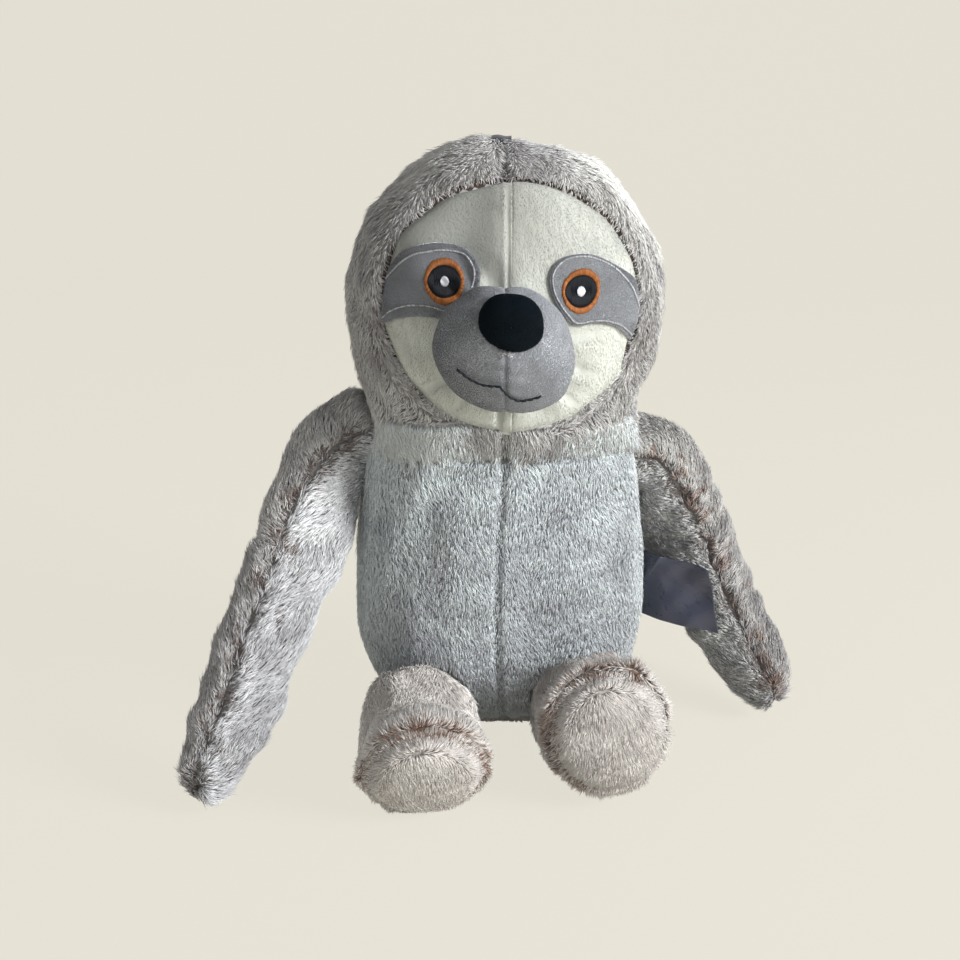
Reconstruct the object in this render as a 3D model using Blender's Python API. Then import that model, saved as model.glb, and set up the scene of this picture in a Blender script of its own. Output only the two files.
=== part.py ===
# A plush sloth that sits upright: stuffed body, hooded head with a sewn face, two long arms
# and two short legs. Metres, +Z up, the face looks along -Y. Left and right are the toy's own,
# so its left side is at +X. The origin is on the surface that the toy sits on, under its body.

import bpy
import bmesh
from math import asin, atan2, cos, pi, radians, sin, sqrt
from mathutils import Vector, Matrix

# General fits
gap = 0.0003                    # clearance between pieces that touch
seam_gap = 0.0004               # between two cloth pieces sewn to each other
cut_overrun = 0.02              # how far a cutter reaches past what it cuts
probe_step = 0.0001             # step, as a share, used to find a form's surface direction

# Cloth
fur_thickness = 0.005           # backing and brushed pile of the long fur
plush_thickness = 0.0025        # cream face plush
minky_thickness = 0.0015        # muzzle cloth
patch_thickness = 0.0008        # eye patches, sewn on flat
stitch_height = 0.0012          # satin stitch round a patch
stitch_width = 0.0022
disc_thickness = 0.0007         # embroidered eye discs
sole_thickness = 0.004
base_thickness = 0.004

# Body
body_height = 0.183             # from the surface to the seam under the neck
body_half_width = 0.0850
body_front = 0.0660             # from the middle plane to the belly
body_back = 0.0660              # from the middle plane to the back
body_power = 2.25               # 2 is an ellipse, more is squarer
body_sway = -0.004              # the middle of the body stands this far to its right
body_height_shares = (0.0, 0.035, 0.09, 0.17, 0.27, 0.40, 0.55, 0.70, 0.84, 0.94, 1.0)
body_width_shares = (0.52, 0.63, 0.755, 0.865, 0.955, 1.0, 1.0, 0.985, 0.97, 0.96, 0.955)
body_front_shares = (0.36, 0.50, 0.655, 0.79, 0.90, 0.985, 1.0, 0.97, 0.92, 0.89, 0.88)
body_back_shares = (0.62, 0.74, 0.85, 0.93, 0.98, 1.0, 0.985, 0.95, 0.90, 0.87, 0.86)
body_columns = 20

# Head
head_bottom = 0.198             # seam between the neck band and the hood
head_middle = 0.262             # where the head is widest
head_top = 0.347
head_half_width = 0.0878
head_front = 0.0740
head_back = 0.0740
head_power = 2.2
head_fullness = 0.88            # 1 is an ellipse from the side, less is squarer
head_lower_reach = 0.150        # half height of the ellipse that shapes the head's lower part
head_columns = 24
head_rows = 9
crown_ring_share = 0.10         # width of the smallest ring, at the crown

# Neck
nod_height = 0.160              # height of the axis on which the head nods
neck_ball_radius = 0.050        # stuffing that carries the head
neck_edge_share = 0.016         # gap above and below the neck band, as a share of its height
neck_rows = 2
ball_segments = 24

# Face
face_inset = 0.0030             # face plush lies this far under the hood's fur
face_centre = (0.0025, 0.2665)
face_rim = 0.0198               # head beside the face opening
face_half_width = head_half_width - face_rim
face_half_height = 0.0635
face_power = 2.1
face_columns_share = 2          # columns and rows of the face sheet to each one of the head's
face_reach_columns = 5          # of the head's columns on each side, before the sheet is trimmed
outline_points = 36

# Eyes and patches: places are across and up, on the face
eye_places = {"right": (-0.0311, 0.2816), "left": (0.0392, 0.2761)}
eye_ring_radius = 0.0114
eye_pupil_radius = 0.0086
eye_highlight_radius = 0.0021
eye_points = 20
patch_half_width = 0.0295
patch_half_height = 0.0205
patch_centres = {"right": (-0.0410, 0.2812), "left": (0.0480, 0.2760)}
patch_drops = {"right": radians(2), "left": radians(17)}   # how far the outer end leans down
patch_outline_shares = (
    (1.00, 0.02), (0.93, 0.42), (0.66, 0.78), (0.22, 0.97), (-0.25, 0.98), (-0.70, 0.86),
    (-1.15, 0.70), (-1.15, -0.86), (-0.72, -0.95), (-0.28, -0.86), (0.20, -0.76), (0.62, -0.68),
    (0.90, -0.42),
)

# Muzzle, nose and mouth
muzzle_centre = (0.0005, 0.2500)
muzzle_half_width = 0.0345
muzzle_half_height = 0.0300
muzzle_reach = 0.0350           # how far it stands out from the face
muzzle_rise = 0.0060            # its tip is this much higher than its root
muzzle_root = 0.0560            # distance of its root ring from the middle plane, inside the face
muzzle_length_shares = (0.0, 0.28, 0.50, 0.68, 0.82, 0.91, 0.97, 1.0)
muzzle_size_shares = (0.66, 0.78, 0.97, 0.97, 0.83, 0.63, 0.38, 0.16)
muzzle_columns = 20
nose_centre = (0.0030, 0.2680)
nose_half_width = 0.0160
nose_half_height = 0.0150
nose_half_depth = 0.0095
nose_set_back = 0.0035          # how far the nose's middle lies behind the muzzle's tip
nose_point = 0.62               # how strongly its lower half narrows
nose_segments = 20
nose_rings = 12
mouth_thread_radius = 0.0005
mouth_points = 22
mouth_shares = ((-0.68, -0.40), (-0.45, -0.55), (-0.20, -0.615), (0.0, -0.63),
                (0.16, -0.66), (0.32, -0.73), (0.50, -0.76), (0.66, -0.68))

# Arms: each follows a line of points from the shoulder to the tip, given as the distance beyond the
# body's widest side, along and up
arm_half_width = 0.0250
arm_half_depth = 0.0205
arm_lines = {
    "right": ((0.0075, 0.002, 0.2030), (0.0140, 0.001, 0.1930), (0.0215, -0.004, 0.1750),
              (0.0265, -0.017, 0.1530), (0.0355, -0.043, 0.1200), (0.0450, -0.064, 0.0930),
              (0.0590, -0.088, 0.0550), (0.0770, -0.106, 0.0170), (0.0830, -0.111, 0.0085)),
    "left": ((0.0030, 0.002, 0.1870), (0.0080, 0.003, 0.1780), (0.0155, 0.008, 0.1610),
             (0.0205, 0.016, 0.1410), (0.0275, 0.024, 0.1140), (0.0375, 0.025, 0.0880),
             (0.0555, 0.018, 0.0530), (0.0760, -0.001, 0.0190), (0.0815, -0.008, 0.0105)),
}
arm_length_shares = (0.0, 0.03, 0.07, 0.13, 0.25, 0.38, 0.52, 0.66, 0.78, 0.87, 0.935, 1.0)
arm_size_shares = (0.40, 0.64, 0.79, 0.89, 0.97, 1.0, 1.0, 0.98, 0.92, 0.82, 0.66, 0.26)
arm_columns = 12
shoulder_place = (0.0, 0.172)   # along and up: the line across the body on which both arms turn
armhole_radius = 0.0125
armhole_depth = 0.0105          # from the body's widest side
armhole_floor = body_half_width - armhole_depth
arm_clearance = 0.0010          # between the widest part of the body and an arm beside it
arm_root_share = 0.12           # where along the arm its root joins it
arm_root_reach = 0.0040         # how far the arm's root runs into its filling
armhole_segments = 28

# Legs
hip_across = 0.0480             # centre of each leg's round root
hip_up = 0.0360
hip_alongs = {"right": -0.0760, "left": -0.0560}
leg_length = 0.0500             # from the hip to the middle of the sole
leg_half_width = 0.0365
leg_root_share = 0.94           # radius of the round root, as a share of the foot's
leg_pitches = {"right": radians(-2), "left": radians(9)}
leg_yaws = {"right": radians(8), "left": radians(10)}
sole_pitches = {"right": radians(-16), "left": radians(22)}
leg_length_shares = (0.0, 0.20, 0.40, 0.58, 0.74, 0.87, 0.96)
leg_size_shares = (0.94, 0.94, 0.96, 0.99, 1.0, 0.96, 0.87)
root_steps = 3                  # rings round the leg's ball-shaped root
root_ring_share = 0.2           # size of the smallest ring there
leg_columns = 14
sole_dome = 0.0030
dome_shares = (0.6, 0.7, 0.25)  # height and radius of the dome's middle ring, radius of its top

# Small trim
label_width = 0.0420
label_height = 0.0400
label_thickness = 0.0008
label_height_place = 0.0930     # height of its middle
label_swing = radians(-16)      # forwards from straight out of the side seam
crown_ribbon_width = 0.0100
crown_ribbon_length = 0.0160
crown_ribbon_thickness = 0.0012
pouch_half_width = 0.0340
pouch_half_depth = 0.0270
pouch_half_height = 0.0130
pouch_height_place = 0.0150
pouch_set_back = 0.0100
pouch_segments = 16
pouch_rings = 8

sides = {"right": -1, "left": 1}

colours = {
    "taupe_fur": ((0.52, 0.48, 0.45), 0.95),
    "grey_fur": ((0.56, 0.57, 0.57), 0.95),
    "light_fur": ((0.62, 0.58, 0.56), 0.95),
    "cream_plush": ((0.86, 0.87, 0.80), 0.9),
    "grey_minky": ((0.46, 0.46, 0.50), 0.85),
    "nose_velour": ((0.035, 0.045, 0.065), 0.9),
    "orange_thread": ((0.80, 0.33, 0.07), 0.5),
    "black_thread": ((0.02, 0.02, 0.025), 0.5),
    "white_thread": ((0.85, 0.87, 0.90), 0.5),
    "silver_thread": ((0.52, 0.53, 0.56), 0.4),
    "navy_satin": ((0.05, 0.06, 0.11), 0.4),
    "stuffing": ((0.92, 0.92, 0.90), 1.0),
    "pouch_cloth": ((0.80, 0.80, 0.78), 0.9),
}


def start_scene():
    for thing in list(bpy.data.objects):
        bpy.data.objects.remove(thing)
    parts = bpy.data.collections.new("plush_sloth")
    cutters = bpy.data.collections.new("cutters")
    for collection in (parts, cutters):
        bpy.context.scene.collection.children.link(collection)
    return parts, cutters


def own_material(name, look):
    colour, roughness = colours[look]
    material = bpy.data.materials.new(name)
    material.use_nodes = True
    shader = material.node_tree.nodes["Principled BSDF"]
    shader.inputs["Base Color"].default_value = (*colour, 1)
    shader.inputs["Roughness"].default_value = roughness
    shader.inputs["Metallic"].default_value = 0
    return material


def add_part(name, mesh, look, smooth=True):
    thing = bpy.data.objects.new(name, mesh)
    mesh.materials.clear()
    mesh.materials.append(own_material(name, look))
    if smooth:
        mesh.shade_smooth()
        mesh.set_sharp_from_angle(angle=radians(40))
    parts.objects.link(thing)
    return thing


def add_cutter(name, mesh):
    thing = bpy.data.objects.new(name, mesh)
    thing.hide_render = True
    thing.display_type = "WIRE"
    cutters.objects.link(thing)
    return thing


def cut(thing, cutter, operation="DIFFERENCE"):
    modifier = thing.modifiers.new(operation.lower() + "_" + cutter.name, "BOOLEAN")
    modifier.operation = operation
    modifier.object = cutter
    modifier.solver = "EXACT"


# Smooth tables and lines

def smooth_value(shares, values, place):
    """Read a table of values at a place between its shares, on a smooth curve through them."""
    last = len(shares) - 1
    index = 0
    while index < last - 1 and place > shares[index + 1]:
        index += 1
    span = shares[index + 1] - shares[index]
    local = (place - shares[index]) / span

    def slope(at):
        before, after = max(at - 1, 0), min(at + 1, last)
        return (values[after] - values[before]) / (shares[after] - shares[before])

    start, end = values[index], values[index + 1]
    square, cube = local ** 2, local ** 3
    return ((2 * cube - 3 * square + 1) * start + (cube - 2 * square + local) * span * slope(index)
            + (3 * square - 2 * cube) * end + (cube - square) * span * slope(index + 1))


def line_reader(points):
    """Return a function that gives the place at each share of a smooth line's length."""
    points = [Vector(point) for point in points]
    lengths = [0.0]
    for before, after in zip(points, points[1:]):
        lengths.append(lengths[-1] + (after - before).length)
    shares = [length / lengths[-1] for length in lengths]
    return lambda share: Vector([smooth_value(shares, [p[axis] for p in points], share)
                                 for axis in range(3)])


def superellipse_radius(angle, across, along, power):
    return ((abs(cos(angle)) / across) ** power + (abs(sin(angle)) / along) ** power) ** (-1 / power)


# Forms: each gives the outer point at an angle round it and a share along it

def body_form(angle, share):
    width = body_half_width * smooth_value(body_height_shares, body_width_shares, share)
    if sin(angle) < 0:
        depth = body_front * smooth_value(body_height_shares, body_front_shares, share)
    else:
        depth = body_back * smooth_value(body_height_shares, body_back_shares, share)
    radius = superellipse_radius(angle, width, depth, body_power)
    sway = body_sway * sin(pi * share)
    return Vector((sway + radius * cos(angle), radius * sin(angle), body_height * share))


def head_form(angle, share):
    lowest = -asin((head_middle - head_bottom) / head_lower_reach)
    turn = lowest + (pi / 2 - crown_ring_share - lowest) * share
    reach = head_top - head_middle if turn > 0 else head_lower_reach
    depth = head_front if sin(angle) < 0 else head_back
    radius = cos(turn) ** head_fullness * superellipse_radius(angle, head_half_width, depth, head_power)
    return Vector((radius * cos(angle), radius * sin(angle), head_middle + reach * sin(turn)))


def neck_form(angle, share):
    """Straight from the body's top edge to the head's lower edge."""
    return body_form(angle, 1).lerp(head_form(angle, 0), share)


def muzzle_form(angle, share):
    size = smooth_value(muzzle_length_shares, muzzle_size_shares, share)
    forward = muzzle_root + (head_front - face_inset + muzzle_reach - muzzle_root) * share
    rise = muzzle_rise * share ** 2
    return Vector((muzzle_centre[0] + muzzle_half_width * size * cos(angle), -forward,
                   muzzle_centre[1] + rise + muzzle_half_height * size * sin(angle)))


def arm_form(side):
    line = line_reader([(sides[side] * (body_half_width + beyond), along, up)
                        for beyond, along, up in arm_lines[side]])

    def form(angle, share):
        middle = line(share)
        ahead = (line(min(share + probe_step, 1)) - line(max(share - probe_step, 0))).normalized()
        front = Vector((0, -1, 0))
        front = (front - ahead * front.dot(ahead)).normalized()
        outward = front.cross(ahead) * sides[side]
        size = smooth_value(arm_length_shares, arm_size_shares, share)
        return (middle + outward * arm_half_width * size * cos(angle)
                + front * arm_half_depth * size * sin(angle))
    return form


def leg_frame(side):
    """The hip's place and the leg's directions: forwards, sideways and up."""
    hip = Vector((sides[side] * hip_across, hip_alongs[side], hip_up))
    yaw, pitch = leg_yaws[side], leg_pitches[side]
    forward = Vector((sin(yaw) * cos(pitch), -cos(yaw) * cos(pitch), sin(pitch)))
    sideways = Vector((cos(yaw), sin(yaw), 0))
    return hip, forward, sideways, forward.cross(sideways)


def leg_form(side):
    """The root is half a ball round the hip, and the far rings lean with the sole."""
    hip, forward, sideways, up = leg_frame(side)
    lean = sole_pitches[side] - leg_pitches[side]
    root_end_share = root_steps / (root_steps + len(leg_length_shares) - 1)

    def form(angle, share):
        if share < root_end_share:
            turn = pi / 2 * (share / root_end_share * (1 - root_ring_share) + root_ring_share)
            radius = leg_half_width * leg_root_share
            middle = hip - forward * radius * cos(turn)
            return middle + (sideways * cos(angle) + up * sin(angle)) * radius * sin(turn)
        along = (share - root_end_share) / (1 - root_end_share) * leg_length_shares[-1]
        size = leg_half_width * smooth_value(leg_length_shares, leg_size_shares, along)
        bend = lean * (along / leg_length_shares[-1]) ** 2
        ring_up = Matrix.Rotation(-bend, 3, sideways) @ up
        middle = hip + forward * leg_length * along
        return middle + (sideways * cos(angle) + ring_up * sin(angle)) * size
    return form


def point_and_direction(form, angle, share):
    """A form's outer point and the direction straight out of it there."""
    step = 10 * probe_step
    low, high = max(share - step, 0), min(share + step, 1)
    point = form(angle, share)
    round_it = form(angle + step, share) - form(angle - step, share)
    along_it = form(angle, high) - form(angle, low)
    direction = round_it.cross(along_it).normalized()
    centre = (form(0, share) + form(pi, share)) / 2
    if direction.dot(point - centre) < 0:
        direction.negate()
    return point, direction


def edge_margin(form, angle, share):
    """The angle that half the seam gap takes up at the edge of a piece of cloth."""
    speed = (form(angle + probe_step, share) - form(angle - probe_step, share)).length / (2 * probe_step)
    return seam_gap / 2 / speed


def sunk_point(form, angle, share, depth):
    point, direction = point_and_direction(form, angle, share)
    return point - direction * depth


# Solids made from forms

def finish_mesh(name, shape):
    bmesh.ops.recalc_face_normals(shape, faces=shape.faces)
    mesh = bpy.data.meshes.new(name)
    shape.to_mesh(mesh)
    shape.free()
    return mesh


def join_rings(shape, first, second, closed):
    count = len(first)
    for place in range(count if closed else count - 1):
        after = (place + 1) % count
        shape.faces.new((first[place], first[after], second[after]))
        shape.faces.new((first[place], second[after], second[place]))


def solid_from_form(name, form, depth, shares, columns):
    """A closed solid whose skin lies at one depth under a form."""
    shape = bmesh.new()
    rings = []
    for share in shares:
        rings.append([shape.verts.new(sunk_point(form, 2 * pi * column / columns, share, depth))
                      for column in range(columns)])
    for first, second in zip(rings, rings[1:]):
        join_rings(shape, first, second, closed=True)
    shape.faces.new(rings[0])
    shape.faces.new(rings[-1])
    return finish_mesh(name, shape)


def cloth_from_form(name, form, thickness, shares, angles, columns, closed_ends=(False, False)):
    """A piece of cloth on a form, from one angle to another, with a gap kept at its edges."""
    shape = bmesh.new()
    sheets = []
    for depth in (0, thickness):
        rings = []
        for share in shares:
            first = angles[0] + edge_margin(form, angles[0], share)
            last = angles[1] - edge_margin(form, angles[1], share)
            rings.append([
                shape.verts.new(sunk_point(form, first + (last - first) * column / columns,
                                           share, depth))
                for column in range(columns + 1)
            ])
        sheets.append(rings)
    outer, inner = sheets
    for rings in sheets:
        for first, second in zip(rings, rings[1:]):
            join_rings(shape, first, second, closed=False)
    join_rings(shape, [ring[0] for ring in outer], [ring[0] for ring in inner], closed=False)
    join_rings(shape, [ring[-1] for ring in outer], [ring[-1] for ring in inner], closed=False)
    for end, is_closed in zip((0, -1), closed_ends):
        if is_closed:
            shape.faces.new(outer[end])
            shape.faces.new(inner[end])
            shape.faces.new((outer[end][0], outer[end][-1], inner[end][-1], inner[end][0]))
        else:
            join_rings(shape, outer[end], inner[end], closed=False)
    return finish_mesh(name, shape)


def solid_from_rings(name, rings):
    shape = bmesh.new()
    rings = [[shape.verts.new(point) for point in ring] for ring in rings]
    for first, second in zip(rings, rings[1:]):
        join_rings(shape, first, second, closed=True)
    shape.faces.new(rings[0])
    shape.faces.new(rings[-1])
    return finish_mesh(name, shape)


def box_mesh(name, low, high):
    shape = bmesh.new()
    bmesh.ops.create_cube(shape, size=1)
    low, high = Vector(low), Vector(high)
    bmesh.ops.scale(shape, vec=high - low, verts=shape.verts)
    bmesh.ops.translate(shape, vec=(low + high) / 2, verts=shape.verts)
    return finish_mesh(name, shape)


def ball_mesh(name, centre, sizes, segments, rings):
    shape = bmesh.new()
    bmesh.ops.create_uvsphere(shape, u_segments=segments, v_segments=rings, radius=1)
    bmesh.ops.scale(shape, vec=sizes, verts=shape.verts)
    bmesh.ops.translate(shape, vec=centre, verts=shape.verts)
    return finish_mesh(name, shape)


def room_radius(radius):
    """The radius of a faceted ball whose flats clear a ball of this radius."""
    return (radius + gap) / cos(pi / ball_segments) ** 2


def crosswise_cylinder(name, radius, near, far, place):
    """A cylinder across the body, from one distance from the middle plane to another."""
    shape = bmesh.new()
    turn = Matrix.Rotation(pi / 2, 4, "Y")
    bmesh.ops.create_cone(shape, cap_ends=True, segments=armhole_segments, radius1=radius,
                          radius2=radius, depth=abs(far - near), matrix=turn)
    bmesh.ops.translate(shape, vec=((near + far) / 2, *place), verts=shape.verts)
    return finish_mesh(name, shape)


def outline_prism(name, outline, front, back):
    """An outline given across and up, carried from one distance before the middle plane to another."""
    shape = bmesh.new()
    face = shape.faces.new([shape.verts.new((across, -front, up)) for across, up in outline])
    made = bmesh.ops.extrude_face_region(shape, geom=[face])
    moved = [item for item in made["geom"] if isinstance(item, bmesh.types.BMVert)]
    bmesh.ops.translate(shape, vec=(0, front - back, 0), verts=moved)
    return finish_mesh(name, shape)


# Outlines, as points across and up

def oval_outline(centre, half_width, half_height, power, count):
    points = []
    for step in range(count):
        angle = 2 * pi * step / count
        radius = superellipse_radius(angle, half_width, half_height, power)
        points.append((centre[0] + radius * cos(angle), centre[1] + radius * sin(angle)))
    return points


def patch_outline(side):
    drop = patch_drops[side]
    inward = Vector((-sides[side] * cos(drop), sin(drop)))
    upward = Vector((sides[side] * sin(drop), cos(drop)))
    centre = Vector(patch_centres[side])
    return [tuple(centre + inward * along * patch_half_width + upward * up * patch_half_height)
            for along, up in patch_outline_shares]


def grown(outline, distance):
    """The outline moved outwards by a distance."""
    count = len(outline)
    area = sum(outline[i][0] * outline[(i + 1) % count][1] - outline[(i + 1) % count][0] * outline[i][1]
               for i in range(count))
    turn = 1 if area > 0 else -1
    points = []
    for place in range(count):
        before, after = outline[place - 1], outline[(place + 1) % count]
        along = Vector((after[0] - before[0], after[1] - before[1])).normalized()
        points.append((outline[place][0] + turn * along.y * distance,
                       outline[place][1] - turn * along.x * distance))
    return points


# The pieces

def make_body():
    quarter = pi / 2
    rows = body_height_shares
    columns = body_columns // 4
    for name, start in (("body_front_left", -quarter), ("body_back_left", 0),
                        ("body_back_right", quarter), ("body_front_right", 2 * quarter)):
        mesh = cloth_from_form(name, body_form, fur_thickness, rows, (start, start + quarter), columns)
        panel = add_part(name, mesh, "grey_fur" if "front" in name else "taupe_fur")
        side = name.split("_")[-1]
        cut(panel, armhole_cutters[side])
        cut(panel, hip_cutters[side])
        cut(panel, floor_cutter)
    filling = add_part("body_filling", body_stuffing(), "stuffing")
    cut(filling, add_cutter("neck_ball", ball_mesh("neck_ball", (0, 0, nod_height),
                                                   [neck_ball_radius] * 3, ball_segments,
                                                   ball_segments // 2)), "UNION")
    for side in sides:
        cut(filling, armhole_cutters[side])
        cut(filling, hip_cutters[side])
    pouch_room = [pouch_half_width + gap, pouch_half_depth + gap, pouch_half_height + gap]
    centre = (0, pouch_set_back, pouch_height_place)
    cut(filling, add_cutter("pouch_room", ball_mesh("pouch_room", centre, pouch_room,
                                                    pouch_segments, pouch_rings)))
    pouch = add_part("bean_pouch", ball_mesh("bean_pouch", centre,
                                             (pouch_half_width, pouch_half_depth, pouch_half_height),
                                             pouch_segments, pouch_rings), "pouch_cloth")
    cut(pouch, add_cutter("pouch_seat", box_mesh(
        "pouch_seat", (-body_half_width, -body_front, -cut_overrun),
        (body_half_width, body_back, base_thickness + gap))))
    make_base()


def body_stuffing():
    """The body's filling, with its lowest ring kept clear of the base panel."""
    depth = fur_thickness + gap
    rings = []
    for share in body_height_shares[:-1] + (1 - depth / body_height,):
        ring = []
        for column in range(body_columns):
            point = sunk_point(body_form, 2 * pi * column / body_columns, share, depth)
            point.z = max(point.z, base_thickness + gap)
            ring.append(point)
        rings.append(ring)
    return solid_from_rings("body_filling", rings)


def make_base():
    rings = []
    for depth, height in ((0, 0), (fur_thickness, base_thickness)):
        ring = []
        for column in range(body_columns):
            point = sunk_point(body_form, 2 * pi * column / body_columns, 0, depth)
            inward = Vector((-point.x, -point.y, 0)).normalized()
            point = point + inward * gap
            point.z = height
            ring.append(point)
        rings.append(ring)
    add_part("base_panel", solid_from_rings("base_panel", rings), "taupe_fur")


def make_neck():
    below_neck = add_cutter("below_neck", box_mesh(
        "below_neck", (-body_half_width, -body_front, 0), (body_half_width, body_back, body_height + gap)))
    above_neck = add_cutter("above_neck", box_mesh(
        "above_neck", (-head_half_width, -head_front, head_bottom - gap),
        (head_half_width, head_back, head_middle)))
    for name, start in (("neck_left", -pi / 2), ("neck_right", pi / 2)):
        shares = [neck_edge_share + (1 - 2 * neck_edge_share) * step / neck_rows
                  for step in range(neck_rows + 1)]
        mesh = cloth_from_form(name, neck_form, fur_thickness, shares, (start, start + pi),
                               head_columns // 2)
        band = add_part(name, mesh, "taupe_fur")
        cut(band, armhole_cutters[name.split("_")[-1]])
        cut(band, below_neck)
        cut(band, above_neck)


def make_head():
    rows = [step / head_rows for step in range(head_rows + 1)]
    face_outline = oval_outline(face_centre, face_half_width, face_half_height, face_power,
                                outline_points)
    opening = add_cutter("face_opening", outline_prism("face_opening", grown(face_outline, gap),
                                                       body_front + cut_overrun * 2, 0))
    for name, start in (("hood_left", -pi / 2), ("hood_right", pi / 2)):
        mesh = cloth_from_form(name, head_form, fur_thickness, rows, (start, start + pi),
                               head_columns // 2, closed_ends=(False, True))
        cut(add_part(name, mesh, "taupe_fur"), opening)
    stuffing_depth = face_inset + plush_thickness + gap
    filling = add_part("head_filling", solid_from_form("head_filling", head_form, stuffing_depth,
                                                       rows, head_columns), "stuffing")
    cut(filling, add_cutter("muzzle_stuffing", solid_from_form(
        "muzzle_stuffing", muzzle_form, minky_thickness + gap, muzzle_length_shares,
        muzzle_columns)), "UNION")
    cut(filling, add_cutter("neck_ball_room", ball_mesh("neck_ball_room", (0, 0, nod_height),
                                                        [room_radius(neck_ball_radius)] * 3,
                                                        ball_segments,
                                                        ball_segments // 2)))
    make_face(face_outline)


def face_sheet(name, start, end, lift, thickness, look):
    """A layer of the face, from one angle to another, lifted off the cream plush."""
    steps = face_columns_share * head_rows
    rows = [step / steps for step in range(steps)]

    def form(angle, share):
        point, direction = point_and_direction(head_form, angle, share)
        return point + direction * (lift - face_inset)
    mesh = cloth_from_form(name, form, thickness, rows, (start, end),
                           face_columns_share * face_reach_columns)
    return add_part(name, mesh, look)


def make_face(face_outline):
    front = -pi / 2
    face_reach = 2 * pi / head_columns * face_reach_columns
    spans = {"right": (front - face_reach, front), "left": (front, front + face_reach)}
    far = head_front + muzzle_reach
    trim = add_cutter("face_outline", outline_prism("face_outline", face_outline, far, 0))
    muzzle_room = add_cutter("muzzle_room", solid_from_form("muzzle_room", muzzle_form, -gap,
                                                            muzzle_length_shares, muzzle_columns))
    for side, (start, end) in spans.items():
        panel = face_sheet("face_" + side, start, end, 0, plush_thickness, "cream_plush")
        cut(panel, trim, "INTERSECT")
        cut(panel, muzzle_room)

        # The patch and its border lie on the plush, and the eye's threads lie on the patch
        outline = patch_outline(side)
        patch_lift = patch_thickness + gap
        patch = face_sheet("eye_patch_" + side, start, end, patch_lift, patch_thickness, "grey_minky")
        inside = prism_cutter("patch_outline_" + side, outline, far)
        cut(patch, inside, "INTERSECT")
        border = face_sheet("patch_stitching_" + side, start, end, stitch_height + gap, stitch_height,
                            "silver_thread")
        cut(border, prism_cutter("stitching_outside_" + side, grown(outline, gap + stitch_width), far),
            "INTERSECT")
        cut(border, prism_cutter("stitching_inside_" + side, grown(outline, gap), far))
        for piece in (patch, border):
            cut(piece, trim, "INTERSECT")
            cut(piece, muzzle_room)

        place = eye_places[side]
        disc_lift = patch_lift + disc_thickness + gap
        ring_outline = circle_outline(place, eye_ring_radius)
        hole_outline = circle_outline(place, eye_pupil_radius + gap)
        ring = face_sheet("eye_ring_" + side, start, end, disc_lift, disc_thickness, "orange_thread")
        cut(ring, prism_cutter("ring_outside_" + side, ring_outline, far), "INTERSECT")
        cut(ring, prism_cutter("ring_inside_" + side, hole_outline, far))
        pupil = face_sheet("eye_pupil_" + side, start, end, disc_lift, disc_thickness, "black_thread")
        cut(pupil, prism_cutter("pupil_outside_" + side, circle_outline(place, eye_pupil_radius), far),
            "INTERSECT")
        highlight = face_sheet("eye_highlight_" + side, start, end,
                               disc_lift + disc_thickness + gap, disc_thickness, "white_thread")
        cut(highlight, prism_cutter("highlight_outside_" + side,
                                    circle_outline(place, eye_highlight_radius), far), "INTERSECT")
    make_muzzle(muzzle_room)


def prism_cutter(name, outline, front):
    return add_cutter(name, outline_prism(name, outline, front, 0))


def circle_outline(centre, radius):
    return oval_outline(centre, radius, radius, 2, eye_points)


def make_muzzle(muzzle_room):
    steps = face_columns_share * head_rows
    rows = [step / steps for step in range(steps + 1)]
    face_solid = add_cutter("face_solid", solid_from_form(
        "face_solid", head_form, face_inset - gap, rows, face_columns_share * head_columns))
    for name, start in (("muzzle_left", -pi / 2), ("muzzle_right", pi / 2)):
        mesh = cloth_from_form(name, muzzle_form, minky_thickness, muzzle_length_shares,
                               (start, start + pi), muzzle_columns // 2, closed_ends=(False, True))
        cut(add_part(name, mesh, "grey_minky"), face_solid)
    tip = head_front - face_inset + muzzle_reach
    shape = bmesh.new()
    bmesh.ops.create_uvsphere(shape, u_segments=nose_segments, v_segments=nose_rings, radius=1)
    for vertex in shape.verts:
        x, y, z = vertex.co
        narrowing = 1 - nose_point * max(-z, 0) ** 2
        vertex.co = (nose_centre[0] + nose_half_width * x * narrowing,
                     nose_half_depth * y - tip + nose_set_back,
                     nose_centre[1] + nose_half_height * z)
    nose = add_part("nose", finish_mesh("nose", shape), "nose_velour")
    cut(nose, muzzle_room)
    make_mouth()


def muzzle_front(across, up):
    """The point of the muzzle's surface at a place across and up, and the direction out of it."""
    low, high = muzzle_length_shares[1], 1.0
    for _ in range(30):
        middle = (low + high) / 2
        size = smooth_value(muzzle_length_shares, muzzle_size_shares, middle)
        x = (across - muzzle_centre[0]) / muzzle_half_width
        z = (up - muzzle_centre[1] - muzzle_rise * middle ** 2) / muzzle_half_height
        if sqrt(x * x + z * z) < size:
            low = middle
        else:
            high = middle
    return point_and_direction(muzzle_form, atan2(z, x), low)


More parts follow.
